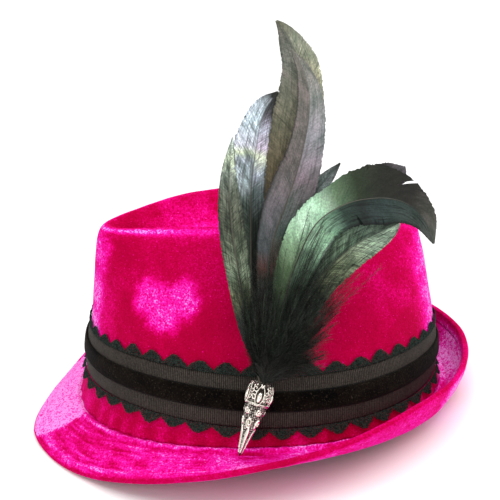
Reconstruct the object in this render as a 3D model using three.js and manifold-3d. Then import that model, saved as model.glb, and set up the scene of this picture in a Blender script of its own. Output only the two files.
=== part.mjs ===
// A tyrolean hat: a velvet-covered crown with a teardrop dent, a brim dipped in front and turned up behind,
// a ribbon band edged with pointed lace, and a plume of cock feathers held in a cast metal cone.
// Millimetres, +Z up. The front of the hat faces -Y and the plume is on its left side, towards +X.
import * as THREE from 'three';
import { mergeVertices } from 'three/addons/utils/BufferGeometryUtils.js';
import Module from 'manifold-3d';

const wasm = await Module();
wasm.setup();

// Crown
const headLength = 200; // outside of the crown under its band, front to back
const headWidth = 180;
const crownHeight = 97; // from the foot at the sides to the crests beside the dent
const frontDrop = 8; // how much lower the front tip is than the side crests
const backDrop = 10;
const dentDepth = 11;
const frontDip = 14; // how far the foot dips below the level of the sides
const backDip = 3;
const crownWall = 2.4;

// Brim
const brimWidth = 32;
const brimWall = 2.4;
const brimGap = 0.3; // between the crown's foot and the brim below it
const settle = 0.6; // how far the cloth gives where the hat rests on it
const edgeRoll = 0.7; // how far the stitched hem at the edge stands proud

// Band
const ribbonWidth = 26;
const ribbonWall = 1.0;
const ribbonFoot = 9; // height of the ribbon's lower edge above the crown's foot at the sides
const bandFrontDrop = 4.5; // how far the band sags in front, where the crown's foot dips
const bandBackDrop = 3.5; // and behind
const velvetWidth = 10.4;
const velvetRaise = 0.6; // how far the velvet lies above the ribbon's middle
const velvetWall = 1.0;
const laceTeeth = 43;
const laceTooth = 5; // how far a point stands beyond the ribbon's edge
const laceValley = 0.25; // the share of that which stays between two points
const laceFlare = 1.6; // how far the lower points stand away from the crown
const laceWall = 1.0;
const clothGap = 0.3;

// Plume and its cone, at one place round the crown
const plumeTurn = 80; // degrees round from the front
const plumeLean = 14; // degrees that the plume leans in over the crown
const plumeHeight = 180;
const vaneWidth = 30; // of the widest feather
const vaneWall = 0.8;
const quillRadius = 0.6;
const layerStep = 2.3; // between one feather and the next in front of it
const quillStep = 0.5; // the same, in the mouth of the cone
const quillSpread = 1.9;
const quillSink = 6; // how far the quills reach into the cone
const firstQuill = -2.9; // from the middle of the cone to the quill next to the crown
const plumeArch = 8; // how far the tallest feather's tip bows out
const plumeNeck = 0.17; // share of the plume's height over which its layers spread
const quillMerge = 0.3; // and over which the quills' columns come together
const tuftHead = 1.2; // radius of the head that holds the tuft's locks
const tuftClear = 1.8; // from the last feather's layer to the tuft's
const tuftStagger = 0.5; // between the ends of neighbouring locks
const coneLength = 38.5;
const coneRadius = 6.5; // at its widest
const coneWall = 0.9;
const coneStand = 0.65; // between the cone's mouth and the level of the velvet, for its relief
const mouthDrop = 1.8; // from the ribbon's upper edge to the cone's mouth
const coneSwing = 17; // degrees that the cone's point swings to the front
const coneFlare = 22; // degrees that it swings out over the brim
const coneHollow = 0.55; // share of the cone's length that is hollow
const windowCount = 5; // pierced drops round the mouth
const windowWidth = 2.6;
const beadCount = 6; // raised beads in each row round the body
const beadRadius = 1.4;

// How finely the solids are cut
const crownTurns = 48;
const crownRows = [0, 0.03, 0.06, 0.12, 0.18, 0.25, 0.32, 0.44, 0.5, 0.56, 0.62, 0.7, 0.79, 1];
const brimShares = [0, 0.25, 0.5, 0.75, 0.93, 1];
const featherRows = [0, 0.07, 0.15, 0.22, 0.3, 0.38, 0.46, 0.54, 0.62, 0.7, 0.78, 0.85, 0.91, 0.96, 1];
const lockSteps = 6;
const coneTurns = 16;

const degrees = Math.PI / 180;
const bandTop = (ribbonFoot + ribbonWidth) / crownHeight;
const coneTurn = new THREE.Euler(-(coneFlare - plumeLean) * degrees, 0, -coneSwing * degrees);

// Sections of the crown from its foot, over the crest, down to the floor of the dent. rise is a share of the
// crest's height and sink of the dent's depth. front, back and width are shares of half the foot's size, and
// narrow is the share by which the front is narrower than the middle.
const crownSections = [
  { at: 0.0, rise: 0.0, sink: 0.0, front: 1.02, back: 1.01, width: 1.01, narrow: 0.03 },
  { at: 0.06, rise: 0.1, sink: 0.0, front: 0.985, back: 0.985, width: 0.985, narrow: 0.03 },
  { at: 0.18, rise: 0.36, sink: 0.0, front: 0.955, back: 0.965, width: 0.9, narrow: 0.08 },
  { at: 0.32, rise: 0.64, sink: 0.0, front: 0.94, back: 0.92, width: 0.75, narrow: 0.17 },
  { at: 0.44, rise: 0.87, sink: 0.0, front: 0.925, back: 0.87, width: 0.57, narrow: 0.27 },
  { at: 0.5, rise: 0.965, sink: 0.0, front: 0.905, back: 0.845, width: 0.45, narrow: 0.34 },
  { at: 0.56, rise: 1.0, sink: 0.0, front: 0.875, back: 0.81, width: 0.36, narrow: 0.4 },
  { at: 0.62, rise: 0.995, sink: 0.14, front: 0.835, back: 0.77, width: 0.305, narrow: 0.42 },
  { at: 0.7, rise: 0.985, sink: 0.55, front: 0.78, back: 0.72, width: 0.24, narrow: 0.44 },
  { at: 0.79, rise: 0.975, sink: 0.93, front: 0.73, back: 0.67, width: 0.175, narrow: 0.45 },
  { at: 0.88, rise: 0.97, sink: 1.0, front: 0.69, back: 0.63, width: 0.1, narrow: 0.45 },
  { at: 1.0, rise: 0.97, sink: 0.94, front: 0.65, back: 0.59, width: 0.0, narrow: 0.45 },
];

// The brim's profile round the hat: turn is degrees from the front, root the slope in degrees at the crown,
// out and up say where the edge is, as shares of the brim's width.
const brimProfiles = [
  { turn: 0, root: -20, out: 0.84, up: -0.58 },
  { turn: 30, root: -19, out: 0.68, up: -0.56 },
  { turn: 60, root: -12, out: 0.76, up: -0.16 },
  { turn: 90, root: -10, out: 0.8, up: 0.34 },
  { turn: 120, root: -4, out: 0.55, up: 0.64 },
  { turn: 150, root: 8, out: 0.41, up: 0.6 },
  { turn: 180, root: 12, out: 0.44, up: 0.62 },
];

// Each feather's midrib in shares of the plume's height, as pairs: across to the hat's back, and up the plume.
// layer counts outwards from the crown, column is the quill's place in the cone, and the vane's rows give the
// half widths on the front and the back of the midrib, as shares of the widest vane.
const feathers = [
  {
    name: 'feather_spike', layer: 0, column: 1,
    rib: [[0, 0], [0.02, 0.2], [0.06, 0.37], [0.12, 0.52], [0.19, 0.612]],
    vane: [
      { at: 0.2, front: 0.03, back: 0.03 },
      { at: 0.5, front: 0.2, back: 0.2 },
      { at: 0.8, front: 0.2, back: 0.2 },
      { at: 0.93, front: 0.1, back: 0.1 },
      { at: 1.0, front: 0.01, back: 0.01 },
    ],
  },
  {
    name: 'feather_left', layer: 1, column: -1,
    rib: [[0, 0], [-0.03, 0.15], [-0.042, 0.3], [-0.047, 0.43], [-0.05, 0.53], [-0.04, 0.64], [-0.022, 0.74],
      [0.016, 0.8]],
    vane: [
      { at: 0.06, front: 0.03, back: 0.03 },
      { at: 0.18, front: 0.17, back: 0.1 },
      { at: 0.32, front: 0.22, back: 0.2 },
      { at: 0.44, front: 0.34, back: 0.26 },
      { at: 0.55, front: 0.5, back: 0.3 },
      { at: 0.65, front: 0.5, back: 0.3 },
      { at: 0.75, front: 0.44, back: 0.28 },
      { at: 0.87, front: 0.3, back: 0.23 },
      { at: 0.95, front: 0.17, back: 0.13 },
      { at: 1.0, front: 0.01, back: 0.01 },
    ],
  },
  {
    name: 'feather_tall_back', layer: 2, column: 0,
    rib: [[0, 0], [0.01, 0.15], [0.03, 0.35], [0.055, 0.55], [0.068, 0.7], [0.075, 0.8], [0.07, 0.867],
      [0.048, 0.92], [0.02, 0.965], [0.001, 0.985]],
    vane: [
      { at: 0.12, front: 0.03, back: 0.03 },
      { at: 0.3, front: 0.18, back: 0.18 },
      { at: 0.45, front: 0.35, back: 0.35 },
      { at: 0.6, front: 0.43, back: 0.43 },
      { at: 0.72, front: 0.42, back: 0.42 },
      { at: 0.8, front: 0.36, back: 0.36 },
      { at: 0.87, front: 0.29, back: 0.29 },
      { at: 0.93, front: 0.2, back: 0.2 },
      { at: 0.97, front: 0.1, back: 0.1 },
      { at: 1.0, front: 0.01, back: 0.01 },
    ],
  },
  {
    name: 'feather_dark', layer: 3, column: 1,
    rib: [[0, 0], [0.03, 0.17], [0.075, 0.33], [0.14, 0.46], [0.22, 0.54], [0.3, 0.575], [0.365, 0.59]],
    vane: [
      { at: 0.12, front: 0.03, back: 0.03 },
      { at: 0.35, front: 0.22, back: 0.22 },
      { at: 0.6, front: 0.28, back: 0.28 },
      { at: 0.8, front: 0.27, back: 0.27 },
      { at: 0.93, front: 0.24, back: 0.24 },
      { at: 1.0, front: 0.12, back: 0.12 },
    ],
  },
  {
    name: 'feather_tall_front', layer: 4, column: -1,
    rib: [[0, 0], [-0.005, 0.2], [0.012, 0.4], [0.04, 0.49], [0.062, 0.56], [0.084, 0.65], [0.096, 0.735],
      [0.094, 0.8], [0.076, 0.86], [0.042, 0.912]],
    vane: [
      { at: 0.12, front: 0.03, back: 0.03 },
      { at: 0.3, front: 0.16, back: 0.16 },
      { at: 0.45, front: 0.28, back: 0.3 },
      { at: 0.53, front: 0.35, back: 0.38 },
      { at: 0.62, front: 0.32, back: 0.38 },
      { at: 0.7, front: 0.25, back: 0.34 },
      { at: 0.8, front: 0.21, back: 0.27 },
      { at: 0.87, front: 0.18, back: 0.2 },
      { at: 0.94, front: 0.1, back: 0.1 },
      { at: 1.0, front: 0.01, back: 0.01 },
    ],
  },
  {
    name: 'feather_low', layer: 5, column: 0,
    rib: [[0, 0], [0.04, 0.13], [0.1, 0.25], [0.17, 0.34], [0.245, 0.4], [0.32, 0.435]],
    vane: [
      { at: 0.12, front: 0.03, back: 0.03 },
      { at: 0.35, front: 0.25, back: 0.25 },
      { at: 0.6, front: 0.32, back: 0.27 },
      { at: 0.8, front: 0.34, back: 0.32 },
      { at: 0.92, front: 0.25, back: 0.24 },
      { at: 1.0, front: 0.03, back: 0.03 },
    ],
  },
  {
    name: 'feather_sickle', layer: 6.4, column: 1,
    rib: [[0, 0], [0.025, 0.15], [0.06, 0.3], [0.108, 0.427], [0.135, 0.465], [0.175, 0.495], [0.218, 0.515],
      [0.26, 0.524], [0.305, 0.527], [0.36, 0.515], [0.41, 0.475], [0.442, 0.405]],
    vane: [
      { at: 0.12, front: 0.03, back: 0.03 },
      { at: 0.28, front: 0.2, back: 0.2 },
      { at: 0.38, front: 0.3, back: 0.3 },
      { at: 0.5, front: 0.36, back: 0.36 },
      { at: 0.62, front: 0.38, back: 0.4 },
      { at: 0.72, front: 0.53, back: 0.46 },
      { at: 0.78, front: 0.5, back: 0.44 },
      { at: 0.85, front: 0.34, back: 0.34 },
      { at: 0.92, front: 0.2, back: 0.2 },
      { at: 1.0, front: 0.01, back: 0.01 },
    ],
  },
  {
    name: 'feather_split', layer: 7.4, column: -1,
    rib: [[0, 0], [-0.045, 0.15], [-0.075, 0.3], [-0.1, 0.44], [-0.11, 0.56], [-0.104, 0.68]],
    vane: [
      { at: 0.1, front: 0.03, back: 0.03 },
      { at: 0.3, front: 0.15, back: 0.13 },
      { at: 0.5, front: 0.21, back: 0.2 },
      { at: 0.7, front: 0.2, back: 0.2 },
      { at: 0.88, front: 0.12, back: 0.1 },
      { at: 1.0, front: 0.01, back: 0.01 },
    ],
  },
];

// The tuft's locks: swing is degrees to the back of the hat, bend the degrees that a lock turns on its way,
// length a share of the plume's height and width a share of the widest vane.
const locks = [
  { swing: -14, bend: 6, length: 0.18, width: 0.26 },
  { swing: -9, bend: 5, length: 0.31, width: 0.3 },
  { swing: -3, bend: 3, length: 0.42, width: 0.32 },
  { swing: 5, bend: 5, length: 0.45, width: 0.32 },
  { swing: 13, bend: 5, length: 0.44, width: 0.32 },
  { swing: 21, bend: 6, length: 0.42, width: 0.32 },
  { swing: 29, bend: 8, length: 0.38, width: 0.32 },
  { swing: 38, bend: 8, length: 0.32, width: 0.3 },
  { swing: 48, bend: 8, length: 0.26, width: 0.28 },
  { swing: 58, bend: 8, length: 0.21, width: 0.24 },
  { swing: 68, bend: 6, length: 0.16, width: 0.2 },
];

// The cone's outside from its mouth to its point: along is a share of its length, radius of its widest radius.
const coneSections = [
  { along: 0.0, radius: 0.84 },
  { along: 0.1, radius: 0.96 },
  { along: 0.2, radius: 1.0 },
  { along: 0.3, radius: 0.93 },
  { along: 0.45, radius: 0.74 },
  { along: 0.65, radius: 0.5 },
  { along: 0.85, radius: 0.28 },
  { along: 0.93, radius: 0.22 },
];

// One column of a table at a place between its rows, on a smooth curve through them.
function between(rows, place, at, column) {
  let i = 0;
  while (i < rows.length - 2 && rows[i + 1][place] < at) i += 1;
  const slope = (k) => {
    const a = rows[Math.max(k - 1, 0)];
    const b = rows[Math.min(k + 1, rows.length - 1)];
    return (b[column] - a[column]) / (b[place] - a[place]);
  };
  const [a, b] = [rows[i], rows[i + 1]];
  const span = b[place] - a[place];
  const t = Math.min(Math.max((at - a[place]) / span, 0), 1);
  const [t2, t3] = [t * t, t * t * t];
  return (2 * t3 - 3 * t2 + 1) * a[column] + (t3 - 2 * t2 + t) * span * slope(i)
    + (3 * t2 - 2 * t3) * b[column] + (t3 - t2) * span * slope(i + 1);
}

// A mesh of numbered corners and triangles as a closed solid whose faces point out.
function solidFrom(points, triangles) {
  const raw = new THREE.BufferGeometry();
  raw.setAttribute('position', new THREE.Float32BufferAttribute(points.flatMap((p) => p.toArray()), 3));
  raw.setIndex(triangles.flat());
  const merged = mergeVertices(raw, 1e-3);
  const corner = (k) => new THREE.Vector3().fromBufferAttribute(merged.attributes.position, k);
  const kept = [];
  let volume = 0;
  for (let i = 0; i < merged.index.count; i += 3) {
    const [a, b, c] = [0, 1, 2].map((k) => merged.index.getX(i + k));
    if (a !== b && b !== c && c !== a) {
      kept.push([a, b, c]);
      volume += corner(a).dot(corner(b).cross(corner(c)));
    }
  }
  const outward = volume < 0 ? kept.map(([a, b, c]) => [a, c, b]) : kept;
  return new wasm.Manifold(new wasm.Mesh({
    numProp: 3,
    vertProperties: new Float32Array(merged.attributes.position.array),
    triVerts: new Uint32Array(outward.flat()),
  }));
}

function fromGeometry(geometry) {
  const bare = geometry.clone();
  bare.deleteAttribute('normal');
  bare.deleteAttribute('uv');
  const merged = mergeVertices(bare, 1e-4);
  return new wasm.Manifold(new wasm.Mesh({
    numProp: 3,
    vertProperties: new Float32Array(merged.attributes.position.array),
    triVerts: new Uint32Array(merged.index.array),
  }));
}

function geometryOf(solid) {
  const mesh = solid.getMesh();
  const geometry = new THREE.BufferGeometry();
  geometry.setAttribute('position', new THREE.BufferAttribute(mesh.vertProperties, 3));
  geometry.setIndex(new THREE.BufferAttribute(mesh.triVerts, 1));
  geometry.computeVertexNormals();
  return geometry;
}

// Loops of points, one after the other: a tube closed into a ring, or with a flat cap on each end.
function loft(loops, ring) {
  const size = loops[0].length;
  const points = loops.flat();
  const triangles = [];
  const last = ring ? loops.length : loops.length - 1;
  for (let i = 0; i < last; i += 1) {
    const next = ((i + 1) % loops.length) * size;
    for (let j = 0; j < size; j += 1) {
      const k = (j + 1) % size;
      const [a, b, c, d] = [i * size + j, i * size + k, next + k, next + j];
      triangles.push([a, b, c], [a, c, d]);
    }
  }
  if (!ring) {
    const end = (loops.length - 1) * size;
    for (let j = 1; j < size - 1; j += 1) {
      triangles.push([0, j + 1, j], [end, end + j, end + j + 1]);
    }
  }
  return solidFrom(points, triangles);
}

// The point of the crown's outside at a turn round from the front and a place along its sections.
function crownPoint(turn, at) {
  const [front, side] = [Math.cos(turn), Math.sin(turn)];
  const column = (name) => between(crownSections, 'at', at, name);
  const drop = (front > 0 ? frontDrop : backDrop) * front * front;
  const narrow = 1 - column('narrow') * Math.max(front, 0) ** 1.5;
  const depth = dentDepth * (1 - 0.1 * front * front);
  const dip = (front > 0 ? frontDip : backDip) * front * front;
  const rise = column('rise');
  return new THREE.Vector3(
    side * narrow * column('width') * headWidth / 2,
    -front * column(front > 0 ? 'front' : 'back') * headLength / 2,
    rise * (crownHeight - drop) - column('sink') * depth - (1 - Math.min(rise / bandTop, 1)) ** 2 * dip,
  );
}

// The crown's outward normal there.
function crownNormal(turn, at) {
  const step = 1e-3;
  const along = crownPoint(turn, Math.min(at + step, 1)).sub(crownPoint(turn, Math.max(at - step, 0)));
  const round = crownPoint(turn + step, at).sub(crownPoint(turn - step, at));
  return round.cross(along).normalize();
}

// A corner of the crown's wall, on its outside or a wall's thickness in. The foot is level, and the last
// section closes the dent's floor along a line.
function crownCorner(turn, at, inside) {
  const outer = crownPoint(turn, at);
  const normal = crownNormal(turn, at);
  if (at === 0) normal.setZ(0).normalize();
  if (at === 1) {
    outer.set(0, crownPoint(Math.min(turn, 2 * Math.PI - turn), at).y, outer.z);
    normal.set(0, 0, 1);
  }
  return outer.addScaledVector(normal, -inside * crownWall);
}

function crown() {
  const points = [];
  const triangles = [];
  const rows = crownRows.length;
  const number = (inside, row, i) => (inside * rows + row) * crownTurns + (i % crownTurns);
  for (const inside of [0, 1]) {
    for (const at of crownRows) {
      for (let i = 0; i < crownTurns; i += 1) {
        points.push(crownCorner((i / crownTurns) * 2 * Math.PI, at, inside));
      }
    }
  }
  for (let i = 0; i < crownTurns; i += 1) {
    for (let row = 0; row < rows - 1; row += 1) {
      for (const inside of [0, 1]) {
        const corners = [number(inside, row, i), number(inside, row, i + 1),
          number(inside, row + 1, i + 1), number(inside, row + 1, i)];
        const [a, b, c, d] = inside ? corners.reverse() : corners;
        triangles.push([a, b, c], [a, c, d]);
      }
    }
    const [a, b, c, d] = [number(1, 0, i), number(1, 0, i + 1), number(0, 0, i + 1), number(0, 0, i)];
    triangles.push([a, b, c], [a, c, d]);
  }
  return solidFrom(points, triangles);
}

// The brim's top at a turn round from the front and a share of the way out: a smooth curve that leaves the crown
// at the profile's root slope and ends at its edge.
function brimPoint(turn, share) {
  const round = Math.abs(turn <= Math.PI ? turn : 2 * Math.PI - turn) / degrees;
  const column = (name) => between(brimProfiles, 'turn', round, name);
  const root = column('root') * degrees;
  const edge = new THREE.Vector2(column('out'), column('up')).multiplyScalar(brimWidth);
  const bend = new THREE.Vector2(Math.cos(root), Math.sin(root)).multiplyScalar(edge.length() / 2);
  const place = bend.clone().multiplyScalar(2 * share * (1 - share)).addScaledVector(edge, share * share);
  const slope = bend.clone().multiplyScalar(2 - 4 * share).addScaledVector(edge, 2 * share).normalize();
  const foot = crownPoint(turn, 0);
  const outward = crownNormal(turn, 0).setZ(0).normalize();
  return {
    point: foot.addScaledVector(outward, place.x).add(new THREE.Vector3(0, 0, place.y - brimGap)),
    normal: outward.clone().multiplyScalar(-slope.y).setZ(slope.x),
    outward,
  };
}

function brimLoop(turn) {
  const top = [];
  const under = [];
  for (const share of [-1, ...brimShares]) {
    const { point, normal, outward } = brimPoint(turn, Math.max(share, 0));
    if (share < 0) point.addScaledVector(outward, -crownWall);
    if (share <= 0) normal.set(0, 0, 1);
    const roll = share > 0.9 ? edgeRoll / 2 : 0;
    top.push(point.clone().addScaledVector(normal, roll));
    under.push(point.clone().addScaledVector(normal, -brimWall - roll));
  }
  return [...top, ...under.reverse()];
}

function brim() {
  const loops = [];
  for (let i = 0; i < crownTurns; i += 1) loops.push(brimLoop((i / crownTurns) * 2 * Math.PI));
  return loft(loops, true);
}

// The hat rests on the front of its brim and on the brim's root behind. Its tilt and lift follow from those two.
function restingPlace() {
  const under = (turn, share) => {
    const { point, normal } = brimPoint(turn, share);
    return point.addScaledVector(normal, -brimWall - (share > 0.9 ? edgeRoll / 2 : 0));
  };
  const front = under(0, 1);
  const back = under(Math.PI, 0);
  const tilt = Math.atan2(back.z - front.z, back.y - front.y);
  return { tilt, lift: -(back.z * Math.cos(tilt) - back.y * Math.sin(tilt)) - settle };
}

// The place along the crown's sections where its wall is at a height.
function placeAtHeight(turn, height) {
  let [low, high] = [0, 0.5];
  for (let k = 0; k < 30; k += 1) {
    const middle = (low + high) / 2;
    if (crownPoint(turn, middle).z < height) low = middle;
    else high = middle;
  }
  return low;
}

// A point at a height on the crown's wall, and a distance off it.
function offWall(turn, height, out) {
  const at = placeAtHeight(turn, height);
  return crownPoint(turn, at).addScaledVector(crownNormal(turn, at), out);
}

// The same on the band, which sags at the front and the back of the hat.
function onBand(turn, height, out) {
  const front = Math.cos(turn);
  const drop = (front > 0 ? bandFrontDrop : bandBackDrop) * front ** 6;
  return offWall(turn, height - drop, out);
}

// A ring of ribbon round the crown between two heights, its inside a distance off the wall.
function ribbon(low, width, off, wall, rows) {
  const loops = [];
  for (let i = 0; i < crownTurns; i += 1) {
    const turn = (i / crownTurns) * 2 * Math.PI;
    const heights = [];
    for (let k = 0; k < rows; k += 1) heights.push(low + (width * k) / (rows - 1));
    const outside = heights.map((height) => onBand(turn, height, off + wall));
    const inside = heights.map((height) => onBand(turn, height, off));
    loops.push([...outside, ...inside.reverse()]);
  }
  return loft(loops, true);
}

// A row of lace points along one edge of the ribbon. side is 1 above it and -1 below it, where the points stand
// away from the crown.
function lace(side) {
  const edge = side > 0 ? ribbonFoot + ribbonWidth : ribbonFoot;
  const flare = side > 0 ? 0 : laceFlare;
  const loops = [];
  for (let i = 0; i < 2 * laceTeeth; i += 1) {
    const turn = (i / (2 * laceTeeth)) * 2 * Math.PI;
    const reach = i % 2 ? 1 : laceValley;
    const near = edge + side * clothGap;
    const far = edge + side * laceTooth * reach;
    loops.push([
      onBand(turn, near, clothGap + laceWall),
      onBand(turn, far, clothGap + laceWall + flare * reach),
      onBand(turn, far, clothGap + flare * reach),
      onBand(turn, near, clothGap),
    ]);
  }
  return loft(loops, true);
}

// The plume's own frame: its origin is the middle of the cone's mouth, across runs to the back of the hat,
// up along the plume and out from the crown.
function plumeFrame() {
  const turn = plumeTurn * degrees;
  const outward = crownNormal(turn, 0.1).setZ(0).normalize();
  const lean = plumeLean * degrees;
  const out = outward.clone().multiplyScalar(Math.cos(lean)).setZ(Math.sin(lean));
  const up = outward.clone().multiplyScalar(-Math.sin(lean)).setZ(Math.cos(lean));
  const across = up.clone().cross(out).normalize();
  const clear = clothGap + ribbonWall + clothGap + velvetWall + coneSections[0].radius * coneRadius + coneStand;
  const origin = offWall(turn, ribbonFoot + ribbonWidth - mouthDrop, clear);
  return new THREE.Matrix4().makeBasis(across, up, out).setPosition(origin);
}

// How far out a feather's layer lies at a height up the plume.
function layerOut(layer, height) {
  const open = Math.min(Math.max(height / (plumeNeck * plumeHeight), 0), 1);
  const ease = open * open * (3 - 2 * open);
  const arch = plumeArch * (height / plumeHeight) ** 2;
  const step = quillStep + (layerStep - quillStep) * ease;
  return firstQuill + layer * step + arch;
}

// One section across a feather at a share of its length. sunk moves it down into the cone.
function featherLoop(shape, path, at, sunk) {
  const middle = path.getPointAt(at);
  const way = path.getTangentAt(at);
  const ease = Math.min(middle.y / (quillMerge * plumeHeight), 1);
  middle.x += shape.column * quillSpread * (1 - ease);
  const side = new THREE.Vector3(-way.y, way.x, 0);
  const least = at > 0.9 ? quillRadius / 2 : quillRadius;
  const grown = at > shape.vane[0].at ? vaneWidth : 0;
  const front = Math.max(between(shape.vane, 'at', at, 'front') * grown, least);
  const back = Math.max(between(shape.vane, 'at', at, 'back') * grown, least);
  const thick = Math.min(vaneWall / 2, Math.max(front, back));
  const rib = Math.max(quillRadius * (1 - 0.75 * at), thick);
  const base = new THREE.Vector3(0, -sunk, 0).applyEuler(coneTurn);
  const point = (across, out) => {
    const p = middle.clone().addScaledVector(side, across);
    const camber = (across / (vaneWidth / 2)) ** 2;
    p.z = layerOut(shape.layer, p.y) - camber + out;
    return p.add(base);
  };
  const knee = 0.55; // share of each half vane where it starts to curve
  const upper = [point(front, thick), point(front * knee, thick), point(0, rib),
    point(-back * knee, thick), point(-back, thick)];
  const lower = [point(-back, -thick), point(-back * knee, -thick), point(0, -rib),
    point(front * knee, -thick), point(front, -thick)];
  return [...upper, ...lower];
}

function feather(shape) {
  const points = shape.rib.map(([across, up]) => new THREE.Vector3(across, up, 0).multiplyScalar(plumeHeight));
  const path = new THREE.CatmullRomCurve3(points, false, 'centripetal');
  const root = featherLoop(shape, path, 0, quillSink);
  return loft([root, ...featherRows.map((at) => featherLoop(shape, path, at, 0))], false);
}

// The sections of one of the tuft's locks, in front of the last feather.
function lockLoops(lock, index) {
  const loops = [];
  const length = lock.length * plumeHeight;
  let [x, y] = [0, 0];
  for (let k = 0; k <= lockSteps; k += 1) {
    const share = k / lockSteps;
    const angle = (lock.swing + lock.bend * share) * degrees;
    const step = k > 0 ? length / lockSteps : 0;
    x += Math.sin(angle) * step;
    y += Math.cos(angle) * step;
    const swell = Math.sin(Math.PI * (0.12 + 0.86 * share)) ** 0.8;
    const half = Math.max(lock.width * vaneWidth / 2 * swell, quillRadius * 0.7);
    const out = layerOut(feathers.at(-1).layer, y) + tuftClear + (index % 2) * tuftStagger * share;
    const across = new THREE.Vector3(Math.cos(angle), -Math.sin(angle), 0);
    const point = (side, off) => new THREE.Vector3(x, y, out + off).addScaledVector(across, side);
    loops.push([point(-half, 0), point(0, vaneWall), point(half, 0), point(0, -quillRadius)]);
  }
  return loops;
}

// The tuft's locks stand on a head that sits in the mouth of the cone.
function tuft() {
  const rise = 1.5;
  const head = new THREE.CylinderGeometry(tuftHead, tuftHead, quillSink + rise, 10);
  head.translate(0, (rise - quillSink) / 2, 0);
  const out = layerOut(feathers.at(-1).layer, 0) + tuftClear;
  head.applyMatrix4(new THREE.Matrix4().makeRotationFromEuler(coneTurn).setPosition(0, 0, out));
  let solid = fromGeometry(head);
  locks.forEach((lock, index) => {
    solid = solid.add(loft(lockLoops(lock, index), false));
  });
  return solid;
}

// A hollow turned shell with a closed point.
function coneShell() {
  const outside = coneSections.map((row) => new THREE.Vector2(row.radius * coneRadius, -row.along * coneLength));
  const inside = outside.filter((p) => -p.y < coneHollow * coneLength);
  const floor = new THREE.Vector2(0, -coneHollow * coneLength);
  const point = new THREE.Vector2(0, -coneLength);
  const back = inside.map((p) => new THREE.Vector2(p.x - coneWall, p.y)).reverse();
  return fromGeometry(new THREE.LatheGeometry([floor, ...back, ...outside, point, floor].reverse(), coneTurns));
}

// A drop-shaped cutter through one side of the mouth, at an angle round it.
function coneWindow(angle) {
  const drop = new THREE.Shape();
  const [top, middle, bottom] = [-0.02, -0.1, -0.2].map((along) => along * coneLength);
  drop.moveTo(0, top);
  drop.quadraticCurveTo(windowWidth * 0.8, middle, 0, bottom);
  drop.quadraticCurveTo(-windowWidth * 0.8, middle, 0, top);
  const depth = coneRadius * 1.5;
  const cutter = new THREE.ExtrudeGeometry(drop, { depth, bevelEnabled: false, curveSegments: 3 });
  cutter.translate(0, 0, coneRadius * 0.35);
  cutter.rotateY(angle);
  return fromGeometry(cutter);
}

function coneBead(along, angle, size) {
  const bead = new THREE.OctahedronGeometry(size, 0);
  bead.scale(1, 1.3, 0.6);
  bead.translate(0, -along * coneLength, between(coneSections, 'along', along, 'radius') * coneRadius);
  bead.rotateY(angle);
  return fromGeometry(bead);
}

function cone() {
  const circle = 2 * Math.PI;
  let solid = coneShell();
  for (let i = 0; i < windowCount; i += 1) {
    solid = solid.subtract(coneWindow(((i + 0.5) / windowCount) * circle));
  }
  [0.34, 0.48, 0.62, 0.76].forEach((along, row) => {
    for (let i = 0; i < beadCount; i += 1) {
      const angle = ((i + 0.5 * (row % 2)) / beadCount) * circle;
      solid = solid.add(coneBead(along, angle, beadRadius * (1 - 0.1 * row)));
    }
  });
  return solid;
}

function material(colour, roughness, metalness = 0) {
  return new THREE.MeshStandardMaterial({ color: colour, roughness, metalness });
}

function node(name, solid, look) {
  const mesh = new THREE.Mesh(geometryOf(solid), look);
  mesh.name = name;
  return mesh;
}

const velvetPink = material(0xd80a86, 0.75);
const ribbonBlack = material(0x2c2725, 0.7);
const velvetBlack = material(0x0d0a08, 0.95);
const laceBlack = material(0x262a28, 0.85);
const plumeGreen = material(0x4b5a4c, 0.35);
const tuftBlack = material(0x1c211c, 0.6);
const castSilver = material(0xb8b0a0, 0.3, 1);

const hat = new THREE.Group();
const rest = restingPlace();
hat.rotation.x = -rest.tilt;
hat.position.z = rest.lift;
hat.updateMatrix();

// What the table would press flat is trimmed from the brim.
const tableSize = 4 * headLength;
const table = new THREE.BoxGeometry(tableSize, tableSize, headLength).translate(0, 0, -headLength / 2);
table.applyMatrix4(hat.matrix.clone().invert());

const ribbonOut = clothGap + ribbonWall;
const velvetFoot = ribbonFoot + (ribbonWidth - velvetWidth) / 2 + velvetRaise;
hat.add(
  node('crown', crown(), velvetPink),
  node('brim', brim().subtract(fromGeometry(table)), velvetPink),
  node('band_ribbon', ribbon(ribbonFoot, ribbonWidth, clothGap, ribbonWall, 3), ribbonBlack),
  node('band_velvet', ribbon(velvetFoot, velvetWidth, ribbonOut + clothGap, velvetWall, 2), velvetBlack),
  node('lace_upper', lace(1), laceBlack),
  node('lace_lower', lace(-1), laceBlack),
);

const plume = new THREE.Group();
plumeFrame().decompose(plume.position, plume.quaternion, plume.scale);
for (const shape of feathers) plume.add(node(shape.name, feather(shape), plumeGreen));
plume.add(node('hackle_tuft', tuft(), tuftBlack));
const ornament = node('cone', cone(), castSilver);
ornament.rotation.copy(coneTurn);
plume.add(ornament);
hat.add(plume);

// The middle of the hat's length is over the origin.
const part = new THREE.Group();
part.add(hat);
part.updateMatrixWorld(true);
const reach = new THREE.Box3().setFromObject(part, true);
hat.position.y -= (reach.min.y + reach.max.y) / 2;

export default part;
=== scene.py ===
# %% [markdown]
# # A tyrolean hat in crushed velvet
# The hat is a velvet-covered crown and brim, a ribbon band edged with pointed lace, and a plume of cock feathers
# that stands in a cast metal cone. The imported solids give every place; this script dresses them.

import math

import bmesh
import bpy
import numpy as np
from mathutils import Matrix, Vector, noise


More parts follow.
